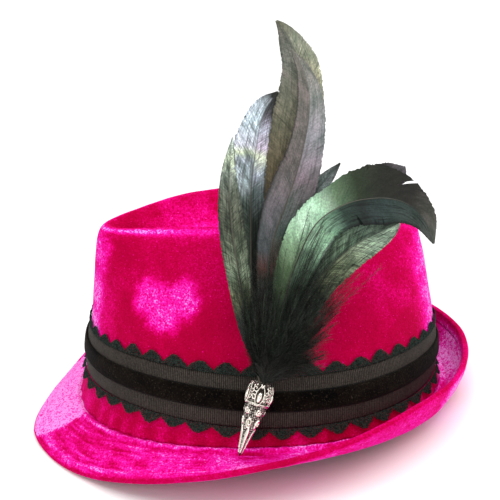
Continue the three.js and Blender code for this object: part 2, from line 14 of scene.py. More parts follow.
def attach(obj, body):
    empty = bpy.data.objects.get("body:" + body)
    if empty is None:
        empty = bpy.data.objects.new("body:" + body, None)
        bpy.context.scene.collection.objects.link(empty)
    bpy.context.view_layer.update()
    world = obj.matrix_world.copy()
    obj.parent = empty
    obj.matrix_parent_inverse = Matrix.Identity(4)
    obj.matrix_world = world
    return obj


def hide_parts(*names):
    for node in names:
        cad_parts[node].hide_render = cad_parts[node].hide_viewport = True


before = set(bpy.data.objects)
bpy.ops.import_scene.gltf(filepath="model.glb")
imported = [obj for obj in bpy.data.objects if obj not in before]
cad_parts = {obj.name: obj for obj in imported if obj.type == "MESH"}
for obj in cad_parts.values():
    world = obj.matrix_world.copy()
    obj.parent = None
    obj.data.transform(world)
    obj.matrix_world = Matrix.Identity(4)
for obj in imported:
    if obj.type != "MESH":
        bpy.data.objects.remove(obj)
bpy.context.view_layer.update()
scene = bpy.context.scene
rng = np.random.default_rng(11)
MM = 0.001


def placed(name, data):
    """A new object in the scene."""
    made = bpy.data.objects.new(name, data)
    scene.collection.objects.link(made)
    return made


# %% [markdown]
# The hat rests tipped back on the front of its brim. Its own axes, in which the crown stands upright, are easier
# to shape in, so points are made there in millimetres and moved to the resting place at the very end.

# %% From the hat's own axes to where it rests
TILT = math.radians(7.248)
REST = np.array([0.0, 6.658, 17.808])
TURN_BACK = np.array([
    [1, 0, 0],
    [0, math.cos(TILT), math.sin(TILT)],
    [0, -math.sin(TILT), math.cos(TILT)],
])


def rested(points):
    """Points of the hat in millimetres as places in the scene in metres."""
    return (np.asarray(points) @ TURN_BACK.T + REST) * MM


# %% [markdown]
# ## Camera
# The photo looks at the wearer's left side from a little above, with a long lens that hardly distorts. The lens is
# in Blender's millimetres for a 36 mm sensor.

# %% Camera
AZIMUTH, ELEVATION, ROLL = math.radians(78), math.radians(22.4), math.radians(1.95)
DISTANCE, ASIDE, AIM_HEIGHT = 729, -8.5, 70
FOCAL_PIXELS, PHOTO_PIXELS, SENSOR = 1325, 500, 36

back = np.array([
    math.sin(AZIMUTH) * math.cos(ELEVATION),
    -math.cos(AZIMUTH) * math.cos(ELEVATION),
    math.sin(ELEVATION),
])
right = np.array([math.cos(AZIMUTH), math.sin(AZIMUTH), 0])
up = np.cross(back, right)
place = right * ASIDE + np.array([0, 0, AIM_HEIGHT]) + back * DISTANCE
rolled_right = right * math.cos(ROLL) + up * math.sin(ROLL)
rolled_up = up * math.cos(ROLL) - right * math.sin(ROLL)

camera = placed("camera", bpy.data.cameras.new("camera"))
camera.data.lens = FOCAL_PIXELS / PHOTO_PIXELS * SENSOR
camera.data.clip_end = 20
axes = (TURN_BACK @ np.stack([rolled_right, rolled_up, back], 1)).tolist()
camera.matrix_world = Matrix.Translation(rested(place).tolist()) @ Matrix(axes).to_4x4()
scene.camera = camera
print("camera at", [round(v, 3) for v in camera.matrix_world.translation])

# %% [markdown]
# ## Shapes from short tables
# A milliner blocks the crown over a wooden form. Here a few named sections say how it rises and narrows, and a
# smooth curve through each column fills in between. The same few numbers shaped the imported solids.

# %% Tables and smooth curves through them
def table(columns, rows):
    return dict(zip(columns.split(), np.array(rows, float).T))


def cubic(t, start, leave, end, arrive):
    """From start to end as t goes from 0 to 1, leaving and arriving at those slopes."""
    rise = 3 * t**2 - 2 * t**3
    return (1 - rise) * start + (t**3 - 2 * t**2 + t) * leave + rise * end + (t**3 - t**2) * arrive


def between(rows, at, column):
    """One column at places between the rows, on a smooth curve through them."""
    x, y = next(iter(rows.values())), rows[column]
    last = len(x) - 1
    k = np.arange(last + 1)
    low, high = np.maximum(k - 1, 0), np.minimum(k + 1, last)
    slope = (y[high] - y[low]) / (x[high] - x[low])
    i = np.clip(np.searchsorted(x, at) - 1, 0, last - 1)
    span = x[i + 1] - x[i]
    t = np.clip((at - x[i]) / span, 0, 1)
    return cubic(t, y[i], span * slope[i], y[i + 1], span * slope[i + 1])


def smooth(low, high, x):
    """0 below low, 1 above high, and an even turn between."""
    t = np.clip((np.asarray(x, float) - low) / (high - low), 0, 1)
    return t * t * (3 - 2 * t)


def bell(x, middle, width):
    """1 at the middle, and fading out to both sides of it."""
    return np.exp(-(((x - middle) / width) ** 2))


def full_turn(count):
    """Angles that are evenly spaced round a circle."""
    return np.arange(count) / count * 2 * math.pi


# %% The crown's sections
LENGTH, WIDTH, HEIGHT = 200, 180, 97
FRONT_DROP, BACK_DROP, DENT = 8, 10, 11
FRONT_DIP, BACK_DIP, WALL = 14, 3, 2.4
RIBBON_FOOT, RIBBON_WIDTH, RIBBON_WALL, CLOTH_GAP = 9, 26, 1.0, 0.3
VELVET_FOOT, VELVET_WIDTH, VELVET_WALL, PILE_SWELL = 17.4, 10.4, 1.0, 0.3
BAND_TOP = (RIBBON_FOOT + RIBBON_WIDTH) / HEIGHT

SECTIONS = table("at rise sink front back width narrow", [
    (0.00, 0.000, 0.00, 1.020, 1.010, 1.010, 0.03),
    (0.06, 0.100, 0.00, 0.985, 0.985, 0.985, 0.03),
    (0.18, 0.360, 0.00, 0.955, 0.965, 0.900, 0.08),
    (0.32, 0.640, 0.00, 0.940, 0.920, 0.750, 0.17),
    (0.44, 0.870, 0.00, 0.925, 0.870, 0.570, 0.27),
    (0.50, 0.965, 0.00, 0.905, 0.845, 0.450, 0.34),
    (0.56, 1.000, 0.00, 0.875, 0.810, 0.360, 0.40),
    (0.62, 0.995, 0.14, 0.835, 0.770, 0.305, 0.42),
    (0.70, 0.985, 0.55, 0.780, 0.720, 0.240, 0.44),
    (0.79, 0.975, 0.93, 0.730, 0.670, 0.175, 0.45),
    (0.88, 0.970, 1.00, 0.690, 0.630, 0.100, 0.45),
    (1.00, 0.970, 0.94, 0.650, 0.590, 0.000, 0.45),
])


def crown_point(turn, at):
    """The crown's outside at a turn round from the front, in radians, and a place along its sections."""
    turn, at = np.broadcast_arrays(np.asarray(turn, float), np.asarray(at, float))
    ahead, aside = np.cos(turn), np.sin(turn)
    front = ahead > 0
    reach = np.where(front, between(SECTIONS, at, "front"), between(SECTIONS, at, "back"))
    narrow = 1 - between(SECTIONS, at, "narrow") * np.maximum(ahead, 0) ** 1.5
    rise = between(SECTIONS, at, "rise")
    drop = np.where(front, FRONT_DROP, BACK_DROP) * ahead**2
    dip = np.where(front, FRONT_DIP, BACK_DIP) * ahead**2
    height = rise * (HEIGHT - drop) - between(SECTIONS, at, "sink") * DENT * (1 - 0.1 * ahead**2)
    height = height - (1 - np.minimum(rise / BAND_TOP, 1)) ** 2 * dip
    across = aside * narrow * between(SECTIONS, at, "width") * WIDTH / 2
    return np.stack([across, -ahead * reach * LENGTH / 2, height], -1)


def unit(v):
    return v / np.maximum(np.linalg.norm(v, axis=-1, keepdims=True), 1e-9)


def crown_normal(turn, at):
    step = 1e-3
    along = crown_point(turn, np.minimum(at + step, 1)) - crown_point(turn, np.maximum(at - step, 0))
    around = crown_point(turn + step, at) - crown_point(turn - step, at)
    return unit(np.cross(around, along))


def off_wall(turn, height, out):
    """Points at a height on the crown's wall and a distance off it."""
    turn, height, out = np.broadcast_arrays(*(np.asarray(v, float) for v in (turn, height, out)))
    low, high = np.zeros(turn.shape), np.full(turn.shape, 0.5)
    for _ in range(26):
        middle = (low + high) / 2
        below = crown_point(turn, middle)[..., 2] < height
        low, high = np.where(below, middle, low), np.where(below, high, middle)
    return crown_point(turn, low) + crown_normal(turn, low) * out[..., None]


def on_band(turn, height, out):
    """The same on the band, which sags at the front and the back of the hat."""
    ahead = np.cos(turn)
    return off_wall(turn, height - np.where(ahead > 0, 4.5, 3.5) * ahead**6, out)


print("head opening in mm:", LENGTH - 2 * WALL, "by", WIDTH - 2 * WALL)

# %% [markdown]
# ## Making meshes
# Most pieces are grids of points bent into shape, so one helper turns rows and columns of points into quads with a
# UV map. Repeated things, such as lace and barbs, are made by Geometry Nodes further down.

# %% Grids to meshes
def grid_faces(rows, columns, ring=False):
    """Each quad's corners as (row, column) places. A ring's last column joins its first."""
    r, c = np.meshgrid(np.arange(rows - 1), np.arange(columns if ring else columns - 1), indexing="ij")
    corners = [(r, c), (r, c + 1), (r + 1, c + 1), (r + 1, c)]
    return np.stack([np.stack(p, -1) for p in corners], 2).reshape(-1, 4, 2)


def new_piece(name, points, faces, uv=None, values=None):
    """A smooth mesh object from points in the scene's metres. uv has a pair for each corner of each face."""
    mesh = bpy.data.meshes.new(name)
    mesh.from_pydata(np.asarray(points).reshape(-1, 3).tolist(), [], np.asarray(faces).tolist())
    if uv is not None:
        mesh.uv_layers.new(name="UVMap").data.foreach_set("uv", np.asarray(uv, "f").ravel())
    for key, numbers in (values or {}).items():
        mesh.attributes.new(key, "FLOAT", "POINT").data.foreach_set("value", np.asarray(numbers, "f").ravel())
    mesh.shade_smooth()
    return placed(name, mesh)


def grid_piece(name, points, ring=False, values=None):
    """A grid of points as a piece, with a UV map that runs once along its rows and once along its columns."""
    rows, columns = points.shape[:2]
    places = grid_faces(rows, columns, ring)
    uv = places[..., ::-1] / [columns if ring else columns - 1, rows - 1]
    return new_piece(name, points, places[..., 0] * columns + places[..., 1] % columns, uv, values)


def close_up(piece, distance=2e-5):
    """Merges doubled corners, drops corners without a face and turns every face outwards."""
    work = bmesh.new()
    work.from_mesh(piece.data)
    bmesh.ops.remove_doubles(work, verts=work.verts, dist=distance)
    bmesh.ops.delete(work, geom=[v for v in work.verts if not v.link_faces], context="VERTS")
    bmesh.ops.recalc_face_normals(work, faces=work.faces)
    work.to_mesh(piece.data)
    work.free()
    piece.data.shade_smooth()
    return piece


def finish_piece(piece, finishes, slot, *nodes):
    """Gives a piece its materials and its place in the frame, and hides the solids it stands for."""
    piece.data.materials.clear()
    for finish in finishes:
        piece.data.materials.append(finish)
    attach(piece, "root")
    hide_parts(*nodes)
    print(piece.name, "has", sum(len(p.vertices) - 2 for p in piece.data.polygons), "triangles")
    return piece


def lumps(points, size, seed=0):
    """A smooth random value from -1 to 1 at each point, with lumps of about that size in millimetres."""
    flat = np.asarray(points).reshape(-1, 3) / size + seed * 17.3
    return np.array([noise.noise(Vector(p)) for p in flat.tolist()]).reshape(np.shape(points)[:-1])


# %% [markdown]
# ## Materials
# A material starts from the Principled shader. A small helper lays out nodes from a short list, so that each recipe
# reads like a recipe.

# %% A helper for nodes
class Recipe:
    """Adds nodes to a tree and joins them: node('ShaderNodeX', {input: value or socket}, setting=value)."""

    def __init__(self, tree):
        self.tree = tree

    def put(self, value, socket):
        """Joins a socket to an input, or sets the input to a number or a colour."""
        if isinstance(value, bpy.types.NodeSocket):
            self.tree.links.new(value, socket)
        else:
            socket.default_value = value

    def node(self, kind, inputs=None, **settings):
        made = self.tree.nodes.new(kind)
        for key, value in settings.items():
            setattr(made, key, value)
        for key, value in (inputs or {}).items():
            self.put(value, made.inputs[key])
        return made

    def coordinate(self, kind):
        return self.node("ShaderNodeTexCoord").outputs[kind]

    def math(self, operation, a, b=0.0, clamp=False):
        return self.node("ShaderNodeMath", {0: a, 1: b}, operation=operation, use_clamp=clamp).outputs[0]

    def product(self, first, *others):
        for value in others:
            first = self.math("MULTIPLY", first, value)
        return first

    def mix(self, factor, a, b, blend="MIX"):
        """A mix of two colours."""
        return self.node("ShaderNodeMix", {0: factor, 6: a, 7: b}, data_type="RGBA", blend_type=blend).outputs[2]

    def noise(self, vector, scale, detail=3.0, rough=0.5, distortion=0.0):
        return self.node("ShaderNodeTexNoise", {
            "Vector": vector, "Scale": scale, "Detail": detail, "Roughness": rough, "Distortion": distortion,
        }).outputs["Fac"]

    def ramp(self, factor, stops):
        """Colours along a factor. Each stop is its place and its red, green and blue on a screen."""
        made = self.node("ShaderNodeValToRGB", {"Fac": factor})
        band = made.color_ramp
        while len(band.elements) < len(stops):
            band.elements.new(0.5)
        for element, (at, *colour) in zip(band.elements, stops):
            element.position = at
            element.color = paint(*colour)
        return made.outputs["Color"]

    def stretch(self, value, low, high, to_low=0.0, to_high=1.0):
        return self.node("ShaderNodeMapRange", {
            "Value": value, "From Min": low, "From Max": high, "To Min": to_low, "To Max": to_high,
        }).outputs[0]

    def coat(self, shader, colour, height=None, strength=0.5, depth=0.5):
        """Joins a colour to the shader, and a height to its normal as bumps of a depth in millimetres."""
        self.put(colour, shader.inputs["Base Color"])
        if height is not None:
            bump = self.node("ShaderNodeBump", {"Strength": strength, "Distance": depth * MM, "Height": height})
            self.put(bump.outputs["Normal"], shader.inputs["Normal"])


def paint(red, green, blue):
    """A colour read as 0 to 255 on a screen, in the linear numbers that Blender's sockets take."""
    linear = [((c / 255 + 0.055) / 1.055) ** 2.4 if c > 10 else c / 255 / 12.92 for c in (red, green, blue)]
    return (*linear, 1.0)


def new_material(name, **sockets):
    """A material with a Principled shader whose own sockets are set, its recipe and the shader node."""
    made = bpy.data.materials.new(name)
    made.use_nodes = True
    shader = made.node_tree.nodes["Principled BSDF"]
    for key, value in sockets.items():
        shader.inputs[key.replace("_", " ")].default_value = value
    return made, Recipe(made.node_tree), shader


# %% [markdown]
# ### The pile group
# Crushed velvet has a short pile that lies over in different directions. Where it leans towards the light it is pale,
# elsewhere deep, and it is all speckled. The pink velvet and the black velvet ribbon share this group, each
# with its own sizes.

# %% Groups of nodes, and the pile
def group(name, inputs, outputs, kind="ShaderNodeTree"):
    """An empty group of nodes. A socket is its name, its kind and perhaps a first value. Returns the group's recipe,
    what it is given and its output node."""
    tree = bpy.data.node_groups.new(name, kind)
    for direction, sockets in (("INPUT", inputs), ("OUTPUT", outputs)):
        for key, socket_kind, *value in sockets:
            socket = tree.interface.new_socket(key, in_out=direction, socket_type=socket_kind)
            if value:
                socket.default_value = value[0]
    recipe = Recipe(tree)
    return recipe, recipe.node("NodeGroupInput").outputs, recipe.node("NodeGroupOutput")


NUMBER = "NodeSocketFloat"
pile, given, out = group(
    "crushed pile",
    [("Vector", "NodeSocketVector"), ("Lean Size", NUMBER, 26.0), ("Speckle Size", NUMBER, 900.0)],
    [("Lean", NUMBER), ("Speckle", NUMBER), ("Height", NUMBER)],
)
r = pile
wide = r.noise(given["Vector"], given["Lean Size"], 5.0, 0.62, 0.6)
stroke_size = r.product(given["Speckle Size"], 0.4)
strokes = r.noise(given["Vector"], stroke_size, 3.0, 0.7, 1.0)
dots = r.noise(given["Vector"], given["Speckle Size"], 1.0, 0.7)
speckle = r.math("ADD", r.stretch(strokes, 0.33, 0.67, 0.0, 0.45), r.stretch(dots, 0.33, 0.67, 0.0, 0.55))
r.put(r.stretch(wide, 0.35, 0.68), out.inputs["Lean"])
r.put(speckle, out.inputs["Speckle"])
r.put(r.product(speckle, 0.8), out.inputs["Height"])

# %% Pink crushed velvet
pink_velvet, r, shader = new_material(
    "crushed_velvet_pink", Roughness=0.8, Sheen_Weight=0.14, Sheen_Roughness=0.3,
    Sheen_Tint=(1.0, 0.05, 0.45, 1.0), Specular_IOR_Level=0.02,
)
where = r.coordinate("Object")
sizes = {"Vector": where, "Lean Size": 22.0, "Speckle Size": 1000.0}
nap = r.node("ShaderNodeGroup", sizes, node_tree=pile.tree).outputs
# This attribute holds pressed pile and painted light: highlights on the crest, gathers and seam, shade by the brim's
# edge.
pile_and_painted_light = r.node("ShaderNodeAttribute", attribute_name="pile_and_painted_light").outputs["Fac"]
# Painted sheen: the colour turns paler and lilac where the surface is seen edge-on, as velvet's sheen looks at
# grazing angles.
painted_edge_sheen = r.node("ShaderNodeLayerWeight", {"Blend": 0.3}).outputs["Facing"]
lean = r.math("ADD", r.product(nap["Lean"], 0.24), pile_and_painted_light)
lean = r.math("ADD", lean, r.product(painted_edge_sheen, 0.34), clamp=True)
ragged = r.product(r.math("SUBTRACT", nap["Speckle"], 0.5), 1.05)
lean = r.math("ADD", lean, r.product(ragged, r.math("ADD", lean, 0.08)))
glints = r.stretch(r.noise(where, 1300.0, 1.0), 0.66, 0.8, 0.0, 0.5)
lean = r.math("ADD", lean, glints, clamp=True)
colour = r.ramp(lean, [
    (0.0, 160, 0, 46), (0.2, 184, 0, 64), (0.42, 220, 2, 112),
    (0.66, 236, 22, 164), (0.84, 242, 62, 196), (1.0, 250, 150, 230),
])
r.coat(shader, colour, nap["Height"], 0.45, 0.5)
print("made", pink_velvet.name)

# %% [markdown]
# ## Crown
# The crown is one sheet of points: up the outside, over the crests and down to the dent's floor, and back along
# the inside, a wall's thickness in. Blocked velvet is never quite even, so it swells a little above the band.
# A nap mark is a place where the pile was pressed the other way: a heart-shaped one by the front, and streaks along
# the ends. Each is a row of a table, with its middle and its size.

# %% The crown
NAP_MARKS = table("x y z reach strength border", [
    (37, -66, 62, 12, 0.58, 0.5),
    (46, -53, 63, 12, 0.58, 0.5),
    (46, -61, 56, 12, 0.58, 0.5),
    (43, -60, 61, 10, 0.58, 0.5),
    (4, -93, 78, 13, 0.47, 0.6),
    (4, -98, 56, 15, 0.50, 0.6),
    (6, -98, 34, 14, 0.46, 0.6),
    (14, 90, 74, 20, 0.48, 0.7),
    (24, 92, 56, 22, 0.50, 0.7),
    (30, 90, 38, 18, 0.46, 0.7),
    (50, 68, 64, 10, 0.22, 0.8),
    (-52, -30, 56, 28, 0.34, 0.8),
    (-62, 40, 44, 26, 0.38, 0.8),
    (-36, 86, 40, 22, 0.40, 0.8),
    (0, -40, 84, 30, 0.30, 0.7),
    (0, 30, 84, 30, 0.30, 0.7),
])


def pile_and_light_marks(marks, points):
    """How much paler each point is made, from 0 to 1, with ragged borders. Most marks are pile lying the other way;
    one at the back of the brim is painted light.
    """
    ragged = lumps(points, 8, 3) * 0.28 + lumps(points, 2.4, 4) * 0.16
    pile_and_painted_light = np.zeros(points.shape[:-1])
    for x, y, z, reach, strength, border in zip(*marks.values()):
        away = np.linalg.norm(points - [x, y, z], axis=-1) / reach + ragged * min(1, 1.6 * border)
        pile_and_painted_light = np.maximum(pile_and_painted_light, strength * (1 - smooth(1 - border, 1 + border / 2, away)))
    return pile_and_painted_light


TURNS, GATHERS, CREST_AT = 300, 46, 0.53
around = full_turn(TURNS)
rows = np.concatenate([np.linspace(0, 0.5, 70), np.linspace(0.5, 1, 56)[1:]])
turn, at = np.meshgrid(around, rows)
outside = crown_point(turn, at)
normal = crown_normal(turn, at)
normal[0] = unit(normal[0] * [1, 1, 0])
folded = np.minimum(around, 2 * math.pi - around)
outside[-1] = np.stack([0 * around, crown_point(folded, 1.0)[:, 1], crown_point(folded, 1.0)[:, 2]], -1)
normal[-1] = [0, 0, 1]
swell = smooth(HEIGHT * 0.4, HEIGHT * 0.55, outside[..., 2])
foot = 1 - smooth(1, 8, outside[..., 2] + 6 * np.clip(np.cos(turn), 0, 1))
tuck = np.sin(turn * GATHERS + 5 * lumps(outside * [1, 1, 0], 26, 7)) * foot
inside = (outside - normal * WALL)[::-4]
# Painted highlight: a pale line along the crest, strongest towards the front of the hat.
crest = bell(at, CREST_AT, 0.022) * (0.2 + 0.5 * smooth(0.1, 0.9, np.cos(turn)))
cushion = swell * (0.9 * lumps(outside, 34, 1) + 0.25 * lumps(outside, 11, 2))
outside = outside + normal * (cushion + 0.35 * tuck)[..., None]
# Painted light and shade: the gathers by the foot are paler on their ridges and deeper between them.
marks_and_painted_light = np.maximum(pile_and_light_marks(NAP_MARKS, outside), crest) + 0.08 * tuck
pile_and_painted_light = np.concatenate([np.zeros(inside.shape[:2]), marks_and_painted_light])
shell = rested(np.concatenate([inside, outside]))
crown = grid_piece("velvet_crown", shell, ring=True, values={"pile_and_painted_light": pile_and_painted_light})
finish_piece(close_up(crown), [pink_velvet], "pink_velvet", "crown")

# %% [markdown]
# ## Brim
# The brim leaves the crown at a slope that changes round the hat, and curves to an edge that dips in front and turns
# up behind. Its hem is folded over and stitched a few millimetres in, which leaves a shallow groove and small
# puckers. Where it rests on the table it is pressed flat.

# %% The brim
BRIM_WIDTH, BRIM_GAP, HEM = 32, 0.3, 5.5
PROFILES = table("turn root out up", [
    (0, -20, 0.84, -0.58),
    (30, -19, 0.68, -0.56),
    (60, -12, 0.76, -0.16),
    (90, -10, 0.80, 0.34),
    (120, -4, 0.55, 0.64),
    (150, 8, 0.41, 0.60),
    (180, 12, 0.44, 0.62),
])


def brim_point(turn, share):
    """The brim's top, its upward normal and its way out, at a turn and a share of the way to the edge."""
    turn, share = np.broadcast_arrays(np.asarray(turn, float), np.asarray(share, float))
    degrees = np.degrees(np.minimum(turn % (2 * math.pi), 2 * math.pi - turn % (2 * math.pi)))
    root = np.radians(between(PROFILES, degrees, "root"))
    edge = np.stack([between(PROFILES, degrees, "out"), between(PROFILES, degrees, "up")], -1) * BRIM_WIDTH
    bend = np.stack([np.cos(root), np.sin(root)], -1) * np.linalg.norm(edge, axis=-1, keepdims=True) / 2
    s = share[..., None]
    place = bend * (2 * s * (1 - s)) + edge * s * s
    slope = unit(bend * (2 - 4 * s) + edge * 2 * s)
    out = unit(crown_normal(turn, 0 * turn) * [1, 1, 0])
    point = crown_point(turn, 0 * turn) + out * place[..., :1]
    point[..., 2] += place[..., 1] - BRIM_GAP
    normal = -out * slope[..., 1:] + [0, 0, 1] * slope[..., :1]
    return point, normal, out


BRIM_TURNS, PUCKERS, WELT_FOLDS = 480, 110, 64
around = full_turn(BRIM_TURNS)
turn, share = np.meshgrid(around, np.concatenate([[0], np.linspace(0.004, 1, 64)]))
top, normal, out = brim_point(turn, share)
width = np.linalg.norm(np.diff(top, axis=0), axis=-1).sum(0)
from_edge = (1 - share) * width
from_seam = share * width
waviness = lumps(top, 15, 5) * 0.35 * smooth(0.2, 0.6, share)
groove = -0.5 * bell(from_edge, HEM, 0.7)
hem = 0.45 * (1 - smooth(HEM - 1.6, HEM, from_edge))
pucker = np.sin(turn * PUCKERS + 4 * lumps(top, 20, 6)) * bell(from_edge, HEM, 2.6)
pucker = pucker * (0.16 + 0.2 * lumps(top, 34, 9))
welt = 1.25 * bell(from_seam, 2.0, 1.3) - 0.5 * bell(from_seam, 5.6, 1.1)
welt += 0.3 * np.sin(turn * WELT_FOLDS + 4 * lumps(top, 22, 12)) * bell(from_seam, 2.5, 3.0)
top_skin = top + normal * (waviness + groove + hem + pucker + welt)[..., None]
under_skin = top - normal * (WALL + groove * 0.6 + hem - waviness - pucker * 0.5)[..., None]
edge_way = unit(top[-1] - top[-2])
rim = [
    top_skin[-1] * (1 - k) + under_skin[-1] * k + edge_way * 0.9 * math.sin(math.pi * k)
    for k in (0.12, 0.3, 0.5, 0.7, 0.88)
]
heel_top, heel_under = top_skin[0] - out[0] * WALL, under_skin[0] - out[0] * WALL
skin = rested(np.concatenate([
    heel_top[None], top_skin, rim, under_skin[::-4], heel_under[None], heel_top[None],
]))
skin[..., 2] = np.maximum(skin[..., 2], 0.0)

# %% The brim's nap and painted light
BRIM_MARKS = table("x y z reach strength border", [
    (-22, -106, -18, 41, 0.86, 0.06),
    (58, -100, -14, 12, 0.34, 0.7),
    (86, -64, -9, 16, 0.40, 0.7),
    (98, -40, -5, 15, 0.40, 0.7),
    (100, 0, 2, 15, 0.36, 0.6),
    (60, 86, 6, 22, 0.55, 0.5),
    # Painted light: this mark pales the inside of the brim at the back, where the crown shades it.
    (10, 108, 8, 34, 0.66, 0.5),
    (-40, 100, 8, 24, 0.50, 0.5),
    (-98, 0, 2, 26, 0.50, 0.5),
])
unrested = (skin / MM - REST) @ TURN_BACK
ahead = np.cos(turn)
streaks = lumps(np.stack([turn * 30, from_edge * 1.6, 0 * turn], -1), 5, 8)
brushed = lumps(np.stack([turn * 54, from_edge * 3.4, 0 * turn], -1), 5, 14)
# Painted highlight along the welt beside the seam.
seam_highlight = 0.24 * bell(from_seam, 2.2, 1.2)
by_hem = 0.22 * bell(from_edge, 4.0, 2.0) * smooth(-0.2, 0.4, ahead)
edge_shade = 0.85 * (1 - smooth(0.2, 1.6 + 3.4 * smooth(0.2, -0.5, ahead), from_edge))

on_top = slice(1, len(top) + 1)
on_rim = slice(len(top) + 1, len(top) + 1 + len(rim))
level = np.full(skin.shape[:2], 0.2)
level[on_top] = 0.22 + 0.22 * streaks + 0.16 * brushed + seam_highlight + by_hem
pile_and_painted_light = np.maximum(pile_and_light_marks(BRIM_MARKS, unrested), level)
pile_and_painted_light[on_top] = (pile_and_painted_light[on_top] + 0.13 * brushed) * (1 - edge_shade)
pile_and_painted_light[on_rim] = 0.06
brim = grid_piece("velvet_brim", skin, ring=True, values={"pile_and_painted_light": pile_and_painted_light})
finish_piece(close_up(brim), [pink_velvet], "pink_velvet", "brim")

# %% [markdown]
# ## Band
# Grosgrain is a ribbed ribbon: each rib runs across it, about a millimetre from the next. The ribs are a wave along
# the ribbon in its UV map, because they follow it round. A strip of black velvet ribbon lies along its middle.

# %% A ribbon round the crown
def ribbon(name, low, width, off, wall, swell=0.0, rows=22, turns=384):
    """A flat ring of ribbon. swell raises its middle, as pile does."""
    around = full_turn(turns)
    share = np.linspace(0, 1, rows)[:, None]
    crest = 1 - np.abs(2 * share - 1) ** 6
    height = low + width * share + 0.2 * np.sin(5 * around + 1)
    outer = on_band(around, height, off + wall * crest + swell * crest)
    loop = np.concatenate([outer, on_band(around, height, off)[::-1], outer[:1]])
    return close_up(grid_piece(name, rested(loop), ring=True))


grosgrain, r, shader = new_material("grosgrain_ribbon", Roughness=0.6, Specular_IOR_Level=0.1)
uv = r.coordinate("UV")
RIBS = 560
split = r.node("ShaderNodeSeparateXYZ", {"Vector": uv}).outputs
rib = r.math("ABSOLUTE", r.math("SINE", r.product(split["X"], RIBS * math.pi)))
where = r.coordinate("Object")
uneven = r.noise(where, 160.0, 3.0)
weft = r.stretch(r.noise(where, 1300.0, 2.0), 0.3, 0.7, 0.35, 1.4)
# Painted shade in the grooves between the ribs, with the weave's own uneven tone.
shade = r.product(r.math("POWER", rib, 0.7), r.stretch(uneven, 0.3, 0.7, 0.75, 1.1), weft)
r.coat(shader, r.mix(shade, paint(15, 12, 10), paint(70, 63, 57)), rib, 0.9, 0.4)
ribbon_piece = ribbon("grosgrain_ribbon", RIBBON_FOOT, RIBBON_WIDTH, CLOTH_GAP, RIBBON_WALL)
finish_piece(ribbon_piece, [grosgrain], "grosgrain", "band_ribbon")

# %% Black velvet ribbon
black_velvet, r, shader = new_material(
    "velvet_ribbon_black", Roughness=0.95, Sheen_Weight=0.03, Sheen_Roughness=0.5, Specular_IOR_Level=0.03,
)
where = r.coordinate("Object")
sizes = {"Vector": where, "Lean Size": 60.0, "Speckle Size": 1300.0}
nap = r.node("ShaderNodeGroup", sizes, node_tree=pile.tree).outputs
depth = r.product(nap["Speckle"], nap["Lean"])
lint = r.stretch(r.noise(where, 1500.0, 1.0), 0.62, 0.78)
colour = r.mix(depth, paint(3, 2, 2), paint(33, 26, 19))
r.coat(shader, r.mix(lint, colour, paint(60, 52, 42)), nap["Height"], 0.6, 0.5)
velvet_piece = ribbon(
    "black_velvet_ribbon", VELVET_FOOT, VELVET_WIDTH, CLOTH_GAP + RIBBON_WALL + CLOTH_GAP, VELVET_WALL,
    swell=PILE_SWELL, rows=12,
)
finish_piece(velvet_piece, [black_velvet], "black_velvet", "band_velvet")

# %% [markdown]
# ## Lace
# The pointed edging is crocheted: rows of small loops, each shorter than the last, so that every point is a little
# flight of steps. It is worked flat with Geometry Nodes, one loop of thread on every stitch, and then wrapped
# round the crown, as the real trim is sewn on.

# %% Growing a mesh with Geometry Nodes
MESH = ("Geometry", "NodeSocketGeometry")


def grown(source, recipe, name, values):
    """Runs a geometry group on an object with those inputs and returns the result as a plain mesh object."""
    modifier = source.modifiers.new("grow", "NODES")
    modifier.node_group = recipe.tree
    for item in recipe.tree.interface.items_tree:
        if item.in_out == "INPUT" and item.name in values:
            modifier[item.identifier] = values[item.name]
    bpy.context.view_layer.update()
    mesh = bpy.data.meshes.new_from_object(source.evaluated_get(bpy.context.evaluated_depsgraph_get()))
    mesh.name = name
    made = placed(name, mesh)
    bpy.data.objects.remove(source)
    return made


def points_object(name, points):
    mesh = bpy.data.meshes.new(name)
    mesh.from_pydata(np.asarray(points).tolist(), [], [])
    return placed(name, mesh)


# %% The loops of thread
loops, given, out = group(
    "thread loops", [MESH, ("Loop Radius", NUMBER), ("Thread Radius", NUMBER), ("Seed", "NodeSocketInt")], [MESH],
    "GeometryNodeTree",
)
r = loops
circle = r.node("GeometryNodeCurvePrimitiveCircle", {"Resolution": 8, "Radius": given["Loop Radius"]})
thread = r.node("GeometryNodeCurvePrimitiveCircle", {"Resolution": 4, "Radius": given["Thread Radius"]})
tube = r.node("GeometryNodeCurveToMesh", {"Curve": circle.outputs[0], "Profile Curve": thread.outputs[0]})
lean_by = r.node("FunctionNodeRandomValue", {"Seed": given["Seed"]}, data_type="FLOAT_VECTOR")
lean_by.inputs[0].default_value = (-0.5, -0.5, -0.6)
lean_by.inputs[1].default_value = (0.5, 0.5, 0.6)
stitched = r.node("GeometryNodeInstanceOnPoints", {
    "Points": given["Geometry"], "Instance": tube.outputs[0], "Rotation": lean_by.outputs[0],
})
solid = r.node("GeometryNodeRealizeInstances", {"Geometry": stitched.outputs[0]})
cloth = r.node("GeometryNodeSetShadeSmooth", {"Geometry": solid.outputs[0]})
kept = r.node("GeometryNodeSetMaterial", {"Geometry": cloth.outputs[0]})
r.put(kept.outputs[0], out.inputs[0])

# %% Lace thread
lace_thread, r, shader = new_material("lace_thread", Roughness=0.85, Specular_IOR_Level=0.12)
kept.inputs["Material"].default_value = lace_thread
where = r.coordinate("Object")
fibres = r.noise(where, 900.0, 4.0, 0.7)
colour = r.mix(r.stretch(fibres, 0.35, 0.65), paint(12, 18, 16), paint(48, 60, 54))
r.coat(shader, colour, fibres, 0.6, 0.3)

